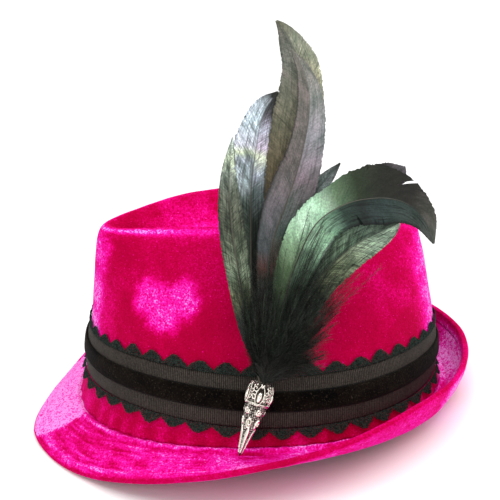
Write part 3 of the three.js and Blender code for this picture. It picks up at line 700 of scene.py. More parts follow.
# %% Working the lace flat and wrapping it round
TEETH, PITCH, POINT_HEIGHT = 43, 13.5, 5
LOOP_RADIUS, THREAD_RADIUS, LAP, LACE_OUT, LACE_DEPTH, FLARE = 0.5, 0.31, 0.1, 0.95, 0.75, 1.5
# Each row is its height, the number of its stitches and how far it reaches across.
STITCH_ROWS = [(0.4, 11, 12.3), (1.3, 10, 11.2), (2.2, 8, 9.0), (3.05, 6, 6.6), (3.85, 4, 4.2), (4.5, 3, 2.2)]


def lace(name, side, node):
    """side is 1 above the ribbon and -1 below it, where the points stand away from the crown."""
    flat = []
    for tooth in range(TEETH):
        tall, aside = rng.uniform(0.84, 1.08), rng.uniform(-0.7, 0.7)
        for height, count, across in STITCH_ROWS:
            step_aside = tooth * PITCH + aside * height / POINT_HEIGHT
            flat += [(step_aside + x, height * tall, 0.0) for x in np.linspace(-across / 2, across / 2, count)]
    flat = np.array(flat) + rng.normal(0, 0.09, (len(flat), 3))
    sizes = {"Loop Radius": LOOP_RADIUS, "Thread Radius": THREAD_RADIUS, "Seed": 5}
    strip = grown(points_object(name + "_layout", flat), loops, name, sizes)
    corners = np.zeros(len(strip.data.vertices) * 3, "f")
    strip.data.vertices.foreach_get("co", corners)
    x, h, o = corners.reshape(-1, 3).T.astype(float)
    round_by = (x / (TEETH * PITCH) + 0.25 / TEETH) * 2 * math.pi
    edge = RIBBON_FOOT + RIBBON_WIDTH if side > 0 else RIBBON_FOOT
    flare = 0 if side > 0 else FLARE
    out = LACE_OUT + LACE_DEPTH * o + flare * np.maximum(h, 0) / POINT_HEIGHT
    wrapped = on_band(round_by, edge + side * (h - LAP), out)
    strip.data.vertices.foreach_set("co", rested(wrapped).astype("f").ravel())
    strip.data.update()
    return finish_piece(close_up(strip, 1e-6), [lace_thread], "lace", node)


lace("crochet_lace_upper", 1, "lace_upper")
lace("crochet_lace_lower", -1, "lace_lower")

# %% [markdown]
# ## The plume's place
# The plume has axes of its own at the cone's mouth: across to the back of the hat, up along the plume and out from
# the crown. It leans in a little over the crown.

# %% The plume's axes
PLUME_HEIGHT, VANE_WIDTH, QUILL = 180, 30, 0.6
PLUME_TURN, PLUME_LEAN = math.radians(80), math.radians(14)
CONE_SWING, CONE_FLARE, CONE_LENGTH, CONE_RADIUS = math.radians(17), math.radians(22), 38.5, 6.5
LAYER_STEP, QUILL_STEP, FIRST_QUILL, ARCH, NECK = 2.3, 0.5, -2.9, 8, 0.17
COLUMN_STEP, COLUMN_RISE, QUILL_SUNK = 1.9, 0.3, 6
BARBS, STEPS, PATH_POINTS, RIB_POINTS = 230, 11, 400, 90
MOUTH_DROP, MOUTH_RADIUS, CONE_STAND, CONE_WALL = 1.8, 0.84, 0.65, 0.55

outward = unit(crown_normal(np.array(PLUME_TURN), np.array(0.1)) * [1, 1, 0])
plume_out = outward * math.cos(PLUME_LEAN) + [0, 0, math.sin(PLUME_LEAN)]
plume_up = -outward * math.sin(PLUME_LEAN) + [0, 0, math.cos(PLUME_LEAN)]
plume_across = unit(np.cross(plume_up, plume_out))
trims = CLOTH_GAP + RIBBON_WALL + CLOTH_GAP + VELVET_WALL
mouth = off_wall(PLUME_TURN, RIBBON_FOOT + RIBBON_WIDTH - MOUTH_DROP, trims + MOUTH_RADIUS * CONE_RADIUS + CONE_STAND)
PLUME_AXES = np.stack([plume_across, plume_up, plume_out])
cone_turn = np.array((Matrix.Rotation(-(CONE_FLARE - PLUME_LEAN), 3, "X") @ Matrix.Rotation(-CONE_SWING, 3, "Z")))


def in_plume(points):
    """Points in the plume's own millimetres as places in the scene."""
    return rested(np.asarray(points) @ PLUME_AXES + mouth)


def layer_out(layer, height):
    """How far out a feather's layer lies at a height up the plume."""
    ease = smooth(0, NECK * PLUME_HEIGHT, height)
    arch = ARCH * (np.asarray(height) / PLUME_HEIGHT) ** 2
    return FIRST_QUILL + layer * (QUILL_STEP + (LAYER_STEP - QUILL_STEP) * ease) + arch


print("cone's mouth in mm:", np.round(rested(mouth) / MM, 1).tolist())


# %% [markdown]
# ## Feathers
# A feather is a tapering midrib with a vane on each side. A vane is made of barbs that leave the midrib at a slant
# towards the tip and hook together, so the mesh follows the barbs: one column of points for each. Where a real vane
# has come unhooked, two barbs next to each other lean apart and the faces between them are left out.

# %% A smooth path through the midrib's points
def sampled(at, run, line):
    """A line's points at distances along it."""
    return np.stack([np.interp(at, run, line[:, k]) for k in (0, 1)], -1)


def path_through(points, count):
    """Points evenly spaced along a smooth curve, its direction at each, and its length."""
    p = np.array(points, float)
    p = np.vstack([2 * p[0] - p[1], p, 2 * p[-1] - p[-2]])
    gap = np.sqrt(np.linalg.norm(np.diff(p, axis=0), axis=1))
    line = []
    for k in range(1, len(p) - 2):
        a, b, c = gap[k - 1], gap[k], gap[k + 1]
        leave = ((p[k] - p[k - 1]) / a - (p[k + 1] - p[k - 1]) / (a + b) + (p[k + 1] - p[k]) / b) * b
        arrive = ((p[k + 1] - p[k]) / b - (p[k + 2] - p[k]) / (b + c) + (p[k + 2] - p[k + 1]) / c) * b
        t = np.linspace(0, 1, 24, endpoint=False)[:, None]
        line.append(cubic(t, p[k], leave, p[k + 1], arrive))
    line = np.vstack([*line, p[-2:-1]])
    run = np.concatenate([[0], np.cumsum(np.linalg.norm(np.diff(line, axis=0), axis=1))])
    even = np.linspace(0, run[-1], count)
    middle = sampled(even, run, line)
    return middle, unit(np.gradient(middle, axis=0)), run[-1]


# %% The feathers' sizes
# rib: shares of the plume's height, across to the back and up. vane: a share of the length, and the half width as a
# share of the widest vane, or two of them where the front differs from the back. splits: the vane's side, 1 for the
# front, the share of the length, and how far the barbs lean apart there.
FEATHERS = {
    "feather_spike": dict(
        layer=0, column=1, rib=[(0, 0), (0.02, 0.2), (0.06, 0.37), (0.12, 0.52), (0.19, 0.612)],
        vane=[(0.2, 0.03), (0.5, 0.2), (0.8, 0.2), (0.93, 0.1), (1, 0.01)],
    ),
    "feather_left": dict(
        layer=1, column=-1,
        rib=[
            (0, 0), (-0.03, 0.15), (-0.042, 0.3), (-0.047, 0.43), (-0.05, 0.53), (-0.04, 0.64), (-0.022, 0.74),
            (0.016, 0.8),
        ],
        vane=[
            (0.06, 0.03), (0.18, 0.12, 0.1), (0.32, 0.17, 0.2), (0.44, 0.31, 0.26), (0.55, 0.5, 0.3),
            (0.65, 0.5, 0.3), (0.75, 0.44, 0.28), (0.87, 0.3, 0.23), (0.95, 0.17, 0.13), (1, 0.01),
        ],
    ),
    "feather_tall_back": dict(
        layer=2, column=0,
        rib=[
            (0, 0), (0.01, 0.15), (0.03, 0.35), (0.055, 0.55), (0.068, 0.7), (0.075, 0.8), (0.07, 0.867),
            (0.048, 0.92), (0.02, 0.965), (0.001, 0.985),
        ],
        vane=[
            (0.12, 0.03), (0.3, 0.18), (0.45, 0.35), (0.6, 0.43), (0.72, 0.42), (0.8, 0.36), (0.87, 0.29),
            (0.93, 0.2), (0.97, 0.1), (1, 0.01),
        ],
    ),
    "feather_dark": dict(
        layer=3, column=1,
        rib=[(0, 0), (0.03, 0.17), (0.075, 0.33), (0.14, 0.46), (0.22, 0.54), (0.3, 0.575), (0.365, 0.59)],
        vane=[(0.12, 0.03), (0.35, 0.22), (0.6, 0.28), (0.8, 0.27), (0.93, 0.24), (1, 0.12)],
    ),
    "feather_tall_front": dict(
        layer=4, column=-1,
        rib=[
            (0, 0), (-0.005, 0.2), (0.012, 0.4), (0.04, 0.49), (0.062, 0.56), (0.084, 0.65), (0.096, 0.735),
            (0.094, 0.8), (0.076, 0.86), (0.042, 0.912),
        ],
        vane=[
            (0.12, 0.03), (0.3, 0.16), (0.45, 0.28, 0.3), (0.53, 0.35, 0.38), (0.62, 0.32, 0.38), (0.7, 0.25, 0.34),
            (0.8, 0.21, 0.27), (0.87, 0.18, 0.2), (0.94, 0.1), (1, 0.01),
        ],
    ),
    "feather_low": dict(
        layer=5, column=0, rib=[(0, 0), (0.04, 0.13), (0.1, 0.25), (0.17, 0.34), (0.245, 0.405), (0.35, 0.46)],
        vane=[
            (0.12, 0.03), (0.35, 0.25, 0.34), (0.55, 0.36, 0.34), (0.75, 0.40, 0.34), (0.88, 0.30, 0.28),
            (0.96, 0.18, 0.16), (1, 0.03),
        ],
    ),
    "feather_sickle": dict(
        layer=6.4, column=1, splits=[(1, 0.715, 0.0008)],
        rib=[
            (0, 0), (0.025, 0.15), (0.06, 0.3), (0.108, 0.427), (0.135, 0.465), (0.175, 0.495), (0.218, 0.515),
            (0.26, 0.524), (0.305, 0.527), (0.36, 0.515), (0.41, 0.475), (0.442, 0.405),
        ],
        vane=[
            (0.12, 0.03), (0.28, 0.2, 0.22), (0.38, 0.3, 0.34), (0.5, 0.36, 0.41), (0.62, 0.38, 0.40),
            (0.72, 0.53, 0.43), (0.78, 0.5, 0.44), (0.85, 0.34), (0.92, 0.2), (1, 0.01),
        ],
    ),
    "feather_split": dict(
        layer=7.4, column=-1, splits=[(-1, 0.85, 0.004)],
        rib=[(0, 0), (-0.045, 0.15), (-0.075, 0.3), (-0.1, 0.44), (-0.11, 0.56), (-0.104, 0.68)],
        vane=[(0.1, 0.03), (0.3, 0.15, 0.13), (0.5, 0.21, 0.2), (0.7, 0.2), (0.88, 0.12, 0.1), (1, 0.01)],
    ),
}

for shape in FEATHERS.values():
    shape["vane"] = table("at front back", [(at, half[0], half[-1]) for at, *half in shape["vane"]])


# %% Vanes that follow their barbs
def in_column(shape, middle):
    """A midrib whose foot is moved aside, because the quills stand in three columns in the cone."""
    ease = np.minimum(middle[..., 1] / (COLUMN_RISE * PLUME_HEIGHT), 1)
    return middle + [1, 0] * (shape["column"] * COLUMN_STEP * (1 - ease))[..., None]


def beside(way):
    return np.stack([-way[..., 1], way[..., 0]], -1)


def plume_place(shape, middle, offset, lift):
    """Points beside a midrib, on the feather's layer and with its camber."""
    flat = middle + offset
    across = np.linalg.norm(offset, axis=-1)
    height = layer_out(shape["layer"], flat[..., 1]) - (across / (VANE_WIDTH / 2)) ** 2 + lift
    return np.concatenate([flat, height[..., None]], -1)


def vane(shape, side, barbs, steps, seed):
    """One side's points, its faces, their UV map and each point's share of the length."""
    chance = np.random.default_rng(seed)
    name = "front" if side > 0 else "back"
    middle, way, length = path_through(np.array(shape["rib"]) * PLUME_HEIGHT, PATH_POINTS)
    even = np.linspace(0, 1, PATH_POINTS)
    start = np.linspace(shape["vane"]["at"][0], 0.995, barbs)
    out = np.linspace(0, 1, steps)[:, None]
    half = np.maximum(between(shape["vane"], start, name) * VANE_WIDTH, 0.15)
    slant = 1.15 + 0.03 * chance.standard_normal(barbs)
    along = start + out * slant * half / length * (1 - 0.25 * out)
    torn = [(at, width) for edge, at, width in shape.get("splits", []) if edge == side]
    for at, width in torn:
        from_split = np.arange(barbs) - int(at * barbs) - 0.5
        along = along + np.sign(from_split) * width * np.exp(-np.abs(from_split) / (barbs * 0.03)) * out**2
    along = np.clip(along, 0, 1)
    half = np.maximum(between(shape["vane"], along, name) * VANE_WIDTH, 0.12)
    ragged = 1 + (0.02 * chance.standard_normal(barbs) - 0.01) * out**3
    reach = half * out * ragged
    at_middle = in_column(shape, sampled(along, even, middle))
    sideways = beside(unit(sampled(along, even, way))) * side
    ripple = 0.16 * np.sin(start * 90 + seed) * out + 0.05 * chance.standard_normal(barbs) * out
    points = plume_place(shape, at_middle, sideways * reach[..., None], ripple + 0.25 * (1 - out))
    places = grid_faces(steps, barbs)
    first = places[:, 0, 1]
    keep = np.ones(len(places), bool)
    for at, _ in torn:
        keep &= ~((first == int(at * barbs)) & (places[:, 0, 0] > steps * 0.45))
    places = places[keep]
    faces = places[..., 0] * barbs + places[..., 1]
    uv = np.stack([start[places[..., 1]] * length / VANE_WIDTH, out[places[..., 0], 0] * side], -1)
    if side < 0:
        faces, uv = faces[:, ::-1], uv[:, ::-1]
    return points, faces, uv, along


def midrib(shape, sides=8):
    """A tapering tube along the midrib, from down in the cone to the tip."""
    middle, way, _ = path_through(np.array(shape["rib"]) * PLUME_HEIGHT, RIB_POINTS)
    share = np.linspace(0, 1, RIB_POINTS)
    middle = in_column(shape, middle)
    radius = np.maximum(QUILL * (1 - share) ** 0.9, 0.1)
    spin = full_turn(sides)
    flat = middle[:, None] + beside(way)[:, None] * (np.cos(spin) * radius[:, None])[..., None]
    height = layer_out(shape["layer"], middle[:, 1])[:, None] + np.sin(spin) * radius[:, None] + 0.15
    tube = np.concatenate([flat, height[..., None]], -1)
    sunk = tube[0] + cone_turn @ np.array([0, -QUILL_SUNK, 0])
    tube = np.concatenate([sunk[None], tube])
    ends = [np.repeat(ring.mean(1, keepdims=True), sides, 1) for ring in (tube[:1], tube[-1:])]
    tube = np.concatenate([ends[0], tube, ends[1]])
    share = np.concatenate([[0, 0], share, [1]])
    return tube, np.repeat(share[:, None], sides, 1)


# %% [markdown]
# A cock's tail feather is black with an oily sheen: green, blue and violet change along it. The barbs show as fine
# slanting streaks, which the feathers' materials share as one group; it also paints shade in thin lines along the
# vane's creases. Each feather then has its own few colours along its length.

# %% The barb group
streaked, given, out = group(
    "barb streaks and crease shade",
    [("UV", "NodeSocketVector"), ("Along", NUMBER, 0.5), ("Streaks", NUMBER, 85.0), ("Folds", NUMBER, 0.5)],
    [("Streak", NUMBER), ("Mottle", NUMBER), ("Fold", NUMBER), ("Height", NUMBER)],
)
r = streaked
split = r.node("ShaderNodeSeparateXYZ", {"Vector": given["UV"]}).outputs


def strip_noise(along, across, seed, detail, roughness):
    """Noise that is long in one direction of the vane: across it, with the barbs, or along it, with the midrib."""
    where = r.node("ShaderNodeCombineXYZ", {"X": along, "Y": across, "Z": seed}).outputs[0]
    return r.noise(where, 1.0, detail, roughness)


fine = r.product(split["X"], given["Streaks"])
streak = strip_noise(fine, r.product(split["Y"], 1.6), 0.0, 4.0, 0.62)
slow = r.product(split["X"], 3.2)
mottle = strip_noise(slow, r.product(split["Y"], 1.3), 3.0, 3.0, 0.6)
# Painted shade: thin dark lines along the vane's creases, and darker beside the midrib.
lengthwise = strip_noise(r.product(given["Along"], 4.5), r.product(split["Y"], 7.0), 7.0, 2.0, 0.6)
ridge = r.math("ABSOLUTE", r.math("SUBTRACT", lengthwise, 0.5))
by_rib = r.stretch(r.math("ABSOLUTE", split["Y"]), 0.0, 0.12, 0.5, 1.0)
folded = r.product(r.stretch(ridge, 0.0, 0.05), by_rib)
painted_fold_shade = r.product(given["Folds"], r.math("SUBTRACT", 1.0, folded))
r.put(r.stretch(streak, 0.32, 0.68), out.inputs["Streak"])
r.put(r.stretch(mottle, 0.34, 0.66), out.inputs["Mottle"])
r.put(r.math("SUBTRACT", 1.0, painted_fold_shade), out.inputs["Fold"])
r.put(r.math("ADD", streak, folded), out.inputs["Height"])


def plume_material(name, front, back=None, streaks=0.4, mottle=0.3, fold_shade=(0.3, 0.3), edge_shadow=(0, 0)):
    """front and back are colours along the feather, as (share of its length, colour), for its two vanes. The last two
    say how dark the painted shade along the vane's creases and the painted shadow at each vane's outer edge are."""
    made, r, shader = new_material(
        name, Roughness=0.44, Metallic=0.2, Anisotropic=0.5, Specular_IOR_Level=0.3, Coat_Weight=0.04,
        Coat_Roughness=0.35,
    )
    uv = r.coordinate("UV")
    along = r.node("ShaderNodeAttribute", attribute_name="along").outputs["Fac"]
    v = r.node("ShaderNodeSeparateXYZ", {"Vector": uv}).outputs["Y"]
    barbs = r.node("ShaderNodeGroup", {
        "UV": uv, "Along": along, "Streaks": 52.0, "Folds": r.stretch(v, 0.04, -0.2, *fold_shade),
    }, node_tree=streaked.tree).outputs
    along = r.math("ADD", along, r.product(r.math("SUBTRACT", barbs["Mottle"], 0.5), 0.015))
    colour = r.ramp(along, front)
    if back:
        colour = r.mix(r.stretch(v, 0.06, -0.06), colour, r.ramp(along, back))
    grain = r.noise(r.coordinate("Object"), 1100.0, 2.0, 0.7)
    barb_tone_and_painted_shade = r.product(
        r.stretch(barbs["Streak"], 0.0, 1.0, 1 - streaks, 1 + streaks),
        r.stretch(barbs["Mottle"], 0.0, 1.0, 1 - mottle, 1 + mottle),
        r.stretch(grain, 0.35, 0.65, 0.8, 1.2),
        barbs["Fold"],
        # Painted shadow along the outer edge of each vane.
        r.stretch(v, 0.98, 0.84, 1 - edge_shadow[0], 1.0),
        r.stretch(v, -0.98, -0.82, 1 - edge_shadow[1], 1.0),
    )
    colour = r.node("ShaderNodeHueSaturation", {"Color": colour, "Value": barb_tone_and_painted_shade}).outputs[0]
    tinge = r.ramp(barbs["Mottle"], [(0.0, 90, 122, 106), (0.5, 128, 128, 128), (1.0, 150, 126, 142)])
    r.coat(shader, r.mix(0.4, colour, tinge, blend="OVERLAY"), barbs["Height"], 0.3, 0.4)
    return made


# %% The colours of each feather
NIGHT, DARK, SMOKE = (20, 24, 20), (34, 40, 34), (112, 108, 112)
OLIVE, BRONZE = (100, 102, 80), (104, 84, 60)

PALETTES = {
    "feather_left": dict(
        streaks=0.6, mottle=0.4, fold_shade=(0.6, 0.7), edge_shadow=(0, 0.6),
        front=[
            (0.14, *NIGHT), (0.26, *DARK), (0.36, 96, 106, 78), (0.45, 70, 86, 70), (0.56, 80, 92, 82),
            (0.63, 112, 128, 122), (0.68, 196, 212, 214), (0.75, 208, 216, 226), (0.775, 222, 232, 206),
            (0.80, 226, 228, 238), (0.88, 224, 238, 246), (0.95, 190, 198, 206), (0.975, *DARK), (1.0, 60, 62, 56),
        ],
        back=[
            (0.1, *NIGHT), (0.34, *DARK), (0.56, 52, 64, 56), (0.65, 104, 120, 118), (0.71, 186, 196, 206),
            (0.775, 210, 218, 196), (0.8, 222, 212, 228), (0.86, 196, 200, 212), (0.92, 84, 84, 88),
            (1.0, 44, 46, 42),
        ],
    ),
    "feather_tall_back": dict(
        streaks=0.4, fold_shade=(0.4, 0.3), edge_shadow=(0.2, 0),
        front=[
            (0.2, *NIGHT), (0.45, *BRONZE), (0.6, 114, 104, 78), (0.75, 126, 126, 106), (0.9, 134, 136, 126),
            (1.0, 104, 104, 92),
        ],
        back=[
            (0.2, *NIGHT), (0.5, *SMOKE), (0.7, 176, 178, 156), (0.82, 200, 200, 174), (0.93, 154, 160, 140),
            (1.0, *OLIVE),
        ],
    ),
    "feather_tall_front": dict(
        streaks=0.22, fold_shade=(0.3, 0.4), edge_shadow=(0.75, 0),
        front=[
            (0.2, *NIGHT), (0.3, 66, 76, 74), (0.34, 130, 84, 78), (0.4, 92, 100, 102), (0.52, 112, 108, 112),
            (0.65, 120, 112, 110), (0.85, 130, 124, 118), (1.0, 136, 132, 124),
        ],
        back=[
            (0.2, *NIGHT), (0.3, 66, 76, 74), (0.34, 130, 84, 78), (0.45, 92, 108, 102), (0.55, 104, 110, 106),
            (0.62, 132, 120, 126), (0.75, 156, 158, 162), (0.9, 152, 154, 146), (1.0, 126, 124, 114),
        ],
    ),
    "feather_spike": dict(
        streaks=0.5, fold_shade=(0.6, 0.6),
        front=[(0.3, *NIGHT), (0.7, 120, 142, 136), (0.9, 176, 192, 188), (1.0, *DARK)],
    ),
    "feather_dark": dict(front=[(0.3, *NIGHT), (0.7, 40, 44, 40), (0.9, 52, 50, 46), (1.0, *SMOKE)]),
    "feather_low": dict(
        streaks=0.8, mottle=0.55, fold_shade=(0.8, 0.8), edge_shadow=(0.6, 0),
        front=[(0.2, *NIGHT), (0.5, 48, 60, 48), (0.7, 112, 140, 112), (0.85, 84, 106, 88), (1.0, 70, 84, 70)],
        back=[(0.2, *NIGHT), (0.5, 84, 96, 68), (0.66, 140, 154, 118), (0.85, 142, 164, 140), (1.0, 150, 170, 150)],
    ),
    "feather_sickle": dict(
        streaks=0.2, mottle=0.25, fold_shade=(0.1, 0.75), edge_shadow=(0, 0.85),
        front=[
            (0.15, *NIGHT), (0.26, 80, 104, 70), (0.38, 112, 142, 100), (0.45, 150, 186, 146),
            (0.52, 208, 236, 212), (0.575, 198, 230, 204), (0.635, 104, 132, 100), (0.69, 48, 60, 40),
            (0.76, 36, 38, 30), (0.84, 38, 36, 32), (0.93, 84, 84, 76), (1.0, 86, 92, 84),
        ],
        back=[
            (0.15, *NIGHT), (0.28, 66, 88, 64), (0.4, 150, 188, 156), (0.49, 202, 236, 208), (0.565, 140, 184, 152),
            (0.63, 48, 70, 60), (0.7, 30, 42, 38), (0.78, 48, 66, 62), (0.88, 56, 70, 64), (1.0, 76, 80, 74),
        ],
    ),
    "feather_split": dict(
        streaks=0.8, mottle=0.6, fold_shade=(0.8, 0.8), edge_shadow=(0.4, 0.4),
        front=[
            (0.18, *NIGHT), (0.29, *DARK), (0.38, 110, 118, 84), (0.46, 134, 152, 124), (0.55, 104, 116, 94),
            (0.66, 80, 88, 70), (0.78, 104, 112, 96), (0.86, 150, 162, 148), (0.92, 202, 214, 190),
            (1.0, 200, 212, 210),
        ],
    ),
}

# %% Building the feathers
quill_horn, r, shader = new_material("quill_horn", Roughness=0.35, Specular_IOR_Level=0.5)
where = r.coordinate("Object")
r.coat(shader, r.mix(r.noise(where, 300.0), paint(34, 34, 28), paint(96, 88, 74)))


def feather(name, shape, seed):
    """Two vanes and a midrib as one piece, with the barbs' material and the midrib's."""
    tube, shares = midrib(shape)
    places = grid_faces(*tube.shape[:2], ring=True)
    ring = places[..., 0] * tube.shape[1] + places[..., 1] % tube.shape[1]
    parts = [vane(shape, side, BARBS, STEPS, seed + side) for side in (1, -1)]
    parts.append((tube, ring, np.zeros((len(places), 4, 2)), shares))
    points, faces, uvs, along = zip(*parts)
    points = [part.reshape(-1, 3) for part in points]
    before = np.cumsum([0] + [len(part) for part in points])
    piece = new_piece(
        name.replace("feather", "cock_feather"), in_plume(np.vstack(points)),
        np.vstack([part + start for part, start in zip(faces, before)]), np.vstack(uvs),
        {"along": np.concatenate([part.ravel() for part in along])},
    )
    finishes = [plume_material(name + "_barbs", **PALETTES[name]), quill_horn]
    finish_piece(piece, finishes, "cock_feather", name)
    kinds = np.zeros(len(piece.data.polygons), "i")
    kinds[-len(places):] = 1
    piece.data.polygons.foreach_set("material_index", kinds)


for number, (name, shape) in enumerate(FEATHERS.items()):
    feather(name, shape, 20 + number)

# %% [markdown]
# ## Hackle tuft
# Soft neck hackles fill the foot of the plume. Each is a thin stem with limp barbs along it, and real ones part into
# locks. So stems are drawn in locks that fan out, and Geometry Nodes put a barb at every step of a stem. Three kinds
# are grown: down inside, with barbs all round its stems, flat blades over it, and a thin fringe at the back.

# %% The tuft's stems
LOCKS = table("swing bend length", [
    (-15, 2, 0.27), (-11, 3, 0.36), (-5, 3, 0.43), (3, 4, 0.46), (11, 5, 0.47), (19, 6, 0.46), (27, 7, 0.42),
    (34, 6, 0.34), (41, 6, 0.28), (48, 6, 0.24), (55, 6, 0.20), (63, 6, 0.155),
])
TUFT_OUT = 1.8


def stem(swing, bend, length, layer, count=16):
    share = np.linspace(0, 1, count)
    angle = np.radians(swing + bend * share)
    step = length * PLUME_HEIGHT / (count - 1)
    x = np.concatenate([[0], np.cumsum(np.sin(angle[1:]) * step)])
    y = np.concatenate([[0], np.cumsum(np.cos(angle[1:]) * step)])
    return np.stack([x, y, layer_out(7.4, y) + TUFT_OUT + layer * share], 1)


def stems_object(name, lines):
    """Paths as one curve object with a spline for each."""
    curve = bpy.data.curves.new(name, "CURVE")
    curve.dimensions = "3D"
    for line in lines:
        spline = curve.splines.new("POLY")
        spline.points.add(len(line) - 1)
        for point, place in zip(spline.points, line.tolist()):
            point.co = (*place, 1)
    return placed(name, curve)


def stems(number, least, most, layer_range, swing_range=(-90, 90)):
    """Stems that spread about each lock, as long as between the least and the most share of it."""
    lines = []
    for swing, bend, length in zip(*LOCKS.values()):
        if swing_range[0] <= swing <= swing_range[1]:
            for _ in range(number):
                lines.append(in_plume(stem(
                    swing + rng.normal(0, 3.5), bend + rng.normal(0, 5), length * rng.uniform(least, most),
                    rng.uniform(*layer_range),
                )))
    return lines


down_stems = stems(5, 0.4, 0.9, (-1.8, 0.6)) + stems(5, 0.5, 0.95, (-1.8, 0.6), (25, 70))
hackle_stems = stems(5, 0.5, 0.95, (-0.6, 1.6), (-20, 45)) + stems(4, 0.85, 1.08, (-0.2, 1.2), (-16, 30))
hackle_stems += stems(4, 0.95, 1.15, (-0.2, 1.2), (15, 36))
fringe_stems = stems(6, 0.65, 0.9, (-1.5, 1.0), (25, 70))
print("stems in the tuft:", len(down_stems), len(hackle_stems), len(fringe_stems))

# %% Geometry Nodes: barbs along stems
barbs, given, out = group("barbs on stems", [
    MESH, ("Spacing", NUMBER), ("Barb Length", NUMBER), ("Barb Width", NUMBER), ("Least Lean", NUMBER),
    ("Most Lean", NUMBER), ("Stem Radius", NUMBER), ("Round", NUMBER), ("Facing", "NodeSocketVector"),
    ("Material", "NodeSocketMaterial"), ("Seed", "NodeSocketInt"),
], [MESH], "GeometryNodeTree")
r = barbs
dense = r.node("GeometryNodeResampleCurve", {"Curve": given["Geometry"], "Length": given["Spacing"]}, mode="LENGTH")
strip = r.node("GeometryNodeMeshGrid", {"Size X": 1.0, "Size Y": 1.0, "Vertices X": 2, "Vertices Y": 4})
grid_at = r.node("ShaderNodeSeparateXYZ", {"Vector": r.node("GeometryNodeInputPosition").outputs[0]}).outputs
up_barb = r.math("ADD", grid_at["Y"], 0.5)
taper = r.math("POWER", r.math("SUBTRACT", 1.0, r.product(up_barb, 0.96)), 0.6)
barb_shape = r.node("ShaderNodeCombineXYZ", {
    "X": r.product(grid_at["X"], given["Barb Width"], taper),
    "Y": r.product(r.math("POWER", up_barb, 2.0), r.product(given["Barb Length"], -0.16)),
    "Z": r.product(up_barb, given["Barb Length"]),
})
barb = r.node("GeometryNodeSetPosition", {"Geometry": strip.outputs[0], "Position": barb_shape.outputs[0]})
tangent = r.node("GeometryNodeInputTangent").outputs[0]
aimed = r.node("FunctionNodeAlignRotationToVector", {"Vector": tangent}, axis="Z").outputs[0]
faced = r.node(
    "FunctionNodeAlignRotationToVector", {"Rotation": aimed, "Vector": given["Facing"]}, axis="X", pivot_axis="Z",
).outputs[0]


def random_number(low, high, salt):
    inputs = {2: low, 3: high, "Seed": barbs.math("ADD", given["Seed"], salt)}
    return barbs.node("FunctionNodeRandomValue", inputs, data_type="FLOAT").outputs[1]


one_side = r.product(r.math("ROUND", random_number(0.0, 1.0, 4.0)), math.pi)
turned = r.product(random_number(-0.5 * math.pi, 0.5 * math.pi, 1.0), given["Round"])
spin = r.node("ShaderNodeCombineXYZ", {"Z": r.math("ADD", one_side, turned)})
tip_out = r.node("ShaderNodeCombineXYZ", {"X": random_number(given["Least Lean"], given["Most Lean"], 2.0)})
leant = faced
for turn_by in (spin, tip_out):
    turned_to = {"Rotation": leant, "Rotate By": turn_by.outputs[0]}
    leant = r.node("FunctionNodeRotateRotation", turned_to, rotation_space="LOCAL").outputs[0]
share = r.node("GeometryNodeSplineParameter").outputs["Factor"]
size = r.product(random_number(0.5, 1.0, 3.0), r.stretch(share, 0.0, 1.0, 1.15, 0.55))
barbed = r.node("GeometryNodeInstanceOnPoints", {
    "Points": dense.outputs[0], "Instance": barb.outputs[0], "Rotation": leant, "Scale": size,
})
stem_profile = r.node("GeometryNodeCurvePrimitiveCircle", {"Resolution": 4, "Radius": given["Stem Radius"]})
stalk = r.node("GeometryNodeCurveToMesh", {"Curve": given["Geometry"], "Profile Curve": stem_profile.outputs[0]})
both = r.node("GeometryNodeJoinGeometry")
r.put(r.node("GeometryNodeRealizeInstances", {"Geometry": barbed.outputs[0]}).outputs[0], both.inputs[0])
r.put(stalk.outputs[0], both.inputs[0])
soft = r.node("GeometryNodeSetShadeSmooth", {"Geometry": both.outputs[0]})
coated = r.node("GeometryNodeSetMaterial", {"Geometry": soft.outputs[0], "Material": given["Material"]})
r.put(coated.outputs[0], out.inputs[0])

# %% Growing the tuft
def hackle_material(name, deep, light, strand):
    """Barbs with clumps from deep to light, and single paler strands."""
    made, r, shader = new_material(
        name, Roughness=0.5, Specular_IOR_Level=0.3, Sheen_Weight=0.06, Sheen_Roughness=0.4,
    )
    where = r.coordinate("Object")
    colour = r.mix(r.stretch(r.noise(where, 200.0, 3.0), 0.35, 0.65), deep, light)
    r.coat(shader, r.mix(r.stretch(r.noise(where, 1200.0, 2.0), 0.52, 0.78), colour, strand))
    return made


downy = hackle_material("hackle_down_barbs", paint(9, 11, 9), paint(32, 40, 34), paint(96, 104, 92))
glossy = hackle_material("hackle_blade_barbs", paint(12, 16, 13), paint(54, 66, 54), paint(122, 134, 112))
FACING = tuple(rested(plume_out) - rested(np.zeros(3)))
# Spacing, length and width of the barbs in millimetres, their least and most lean in radians, and how far round the
# stem they stand, from 0 for flat to 1.
for name, hackle, lines, sizes in (
    ("hackle_down", downy, down_stems, (0.34, 11.5, 0.34, 0.15, 0.50, 1.0)),
    ("hackle_blades", glossy, hackle_stems, (0.24, 8.0, 0.36, 0.22, 0.42, 0.2)),
    ("hackle_fringe", downy, fringe_stems, (0.26, 6.5, 0.13, 0.25, 0.85, 1.0)),
):
    spacing, length, width, least, most, all_round = sizes
    tuft = grown(stems_object("stems", lines), barbs, name, {
        "Spacing": spacing * MM, "Barb Length": length * MM, "Barb Width": width * MM, "Least Lean": least,
        "Most Lean": most, "Stem Radius": 0.09 * MM, "Round": all_round, "Facing": FACING, "Material": hackle,
        "Seed": 3,
    })
    finish_piece(tuft, [hackle], "hackle", "hackle_tuft")

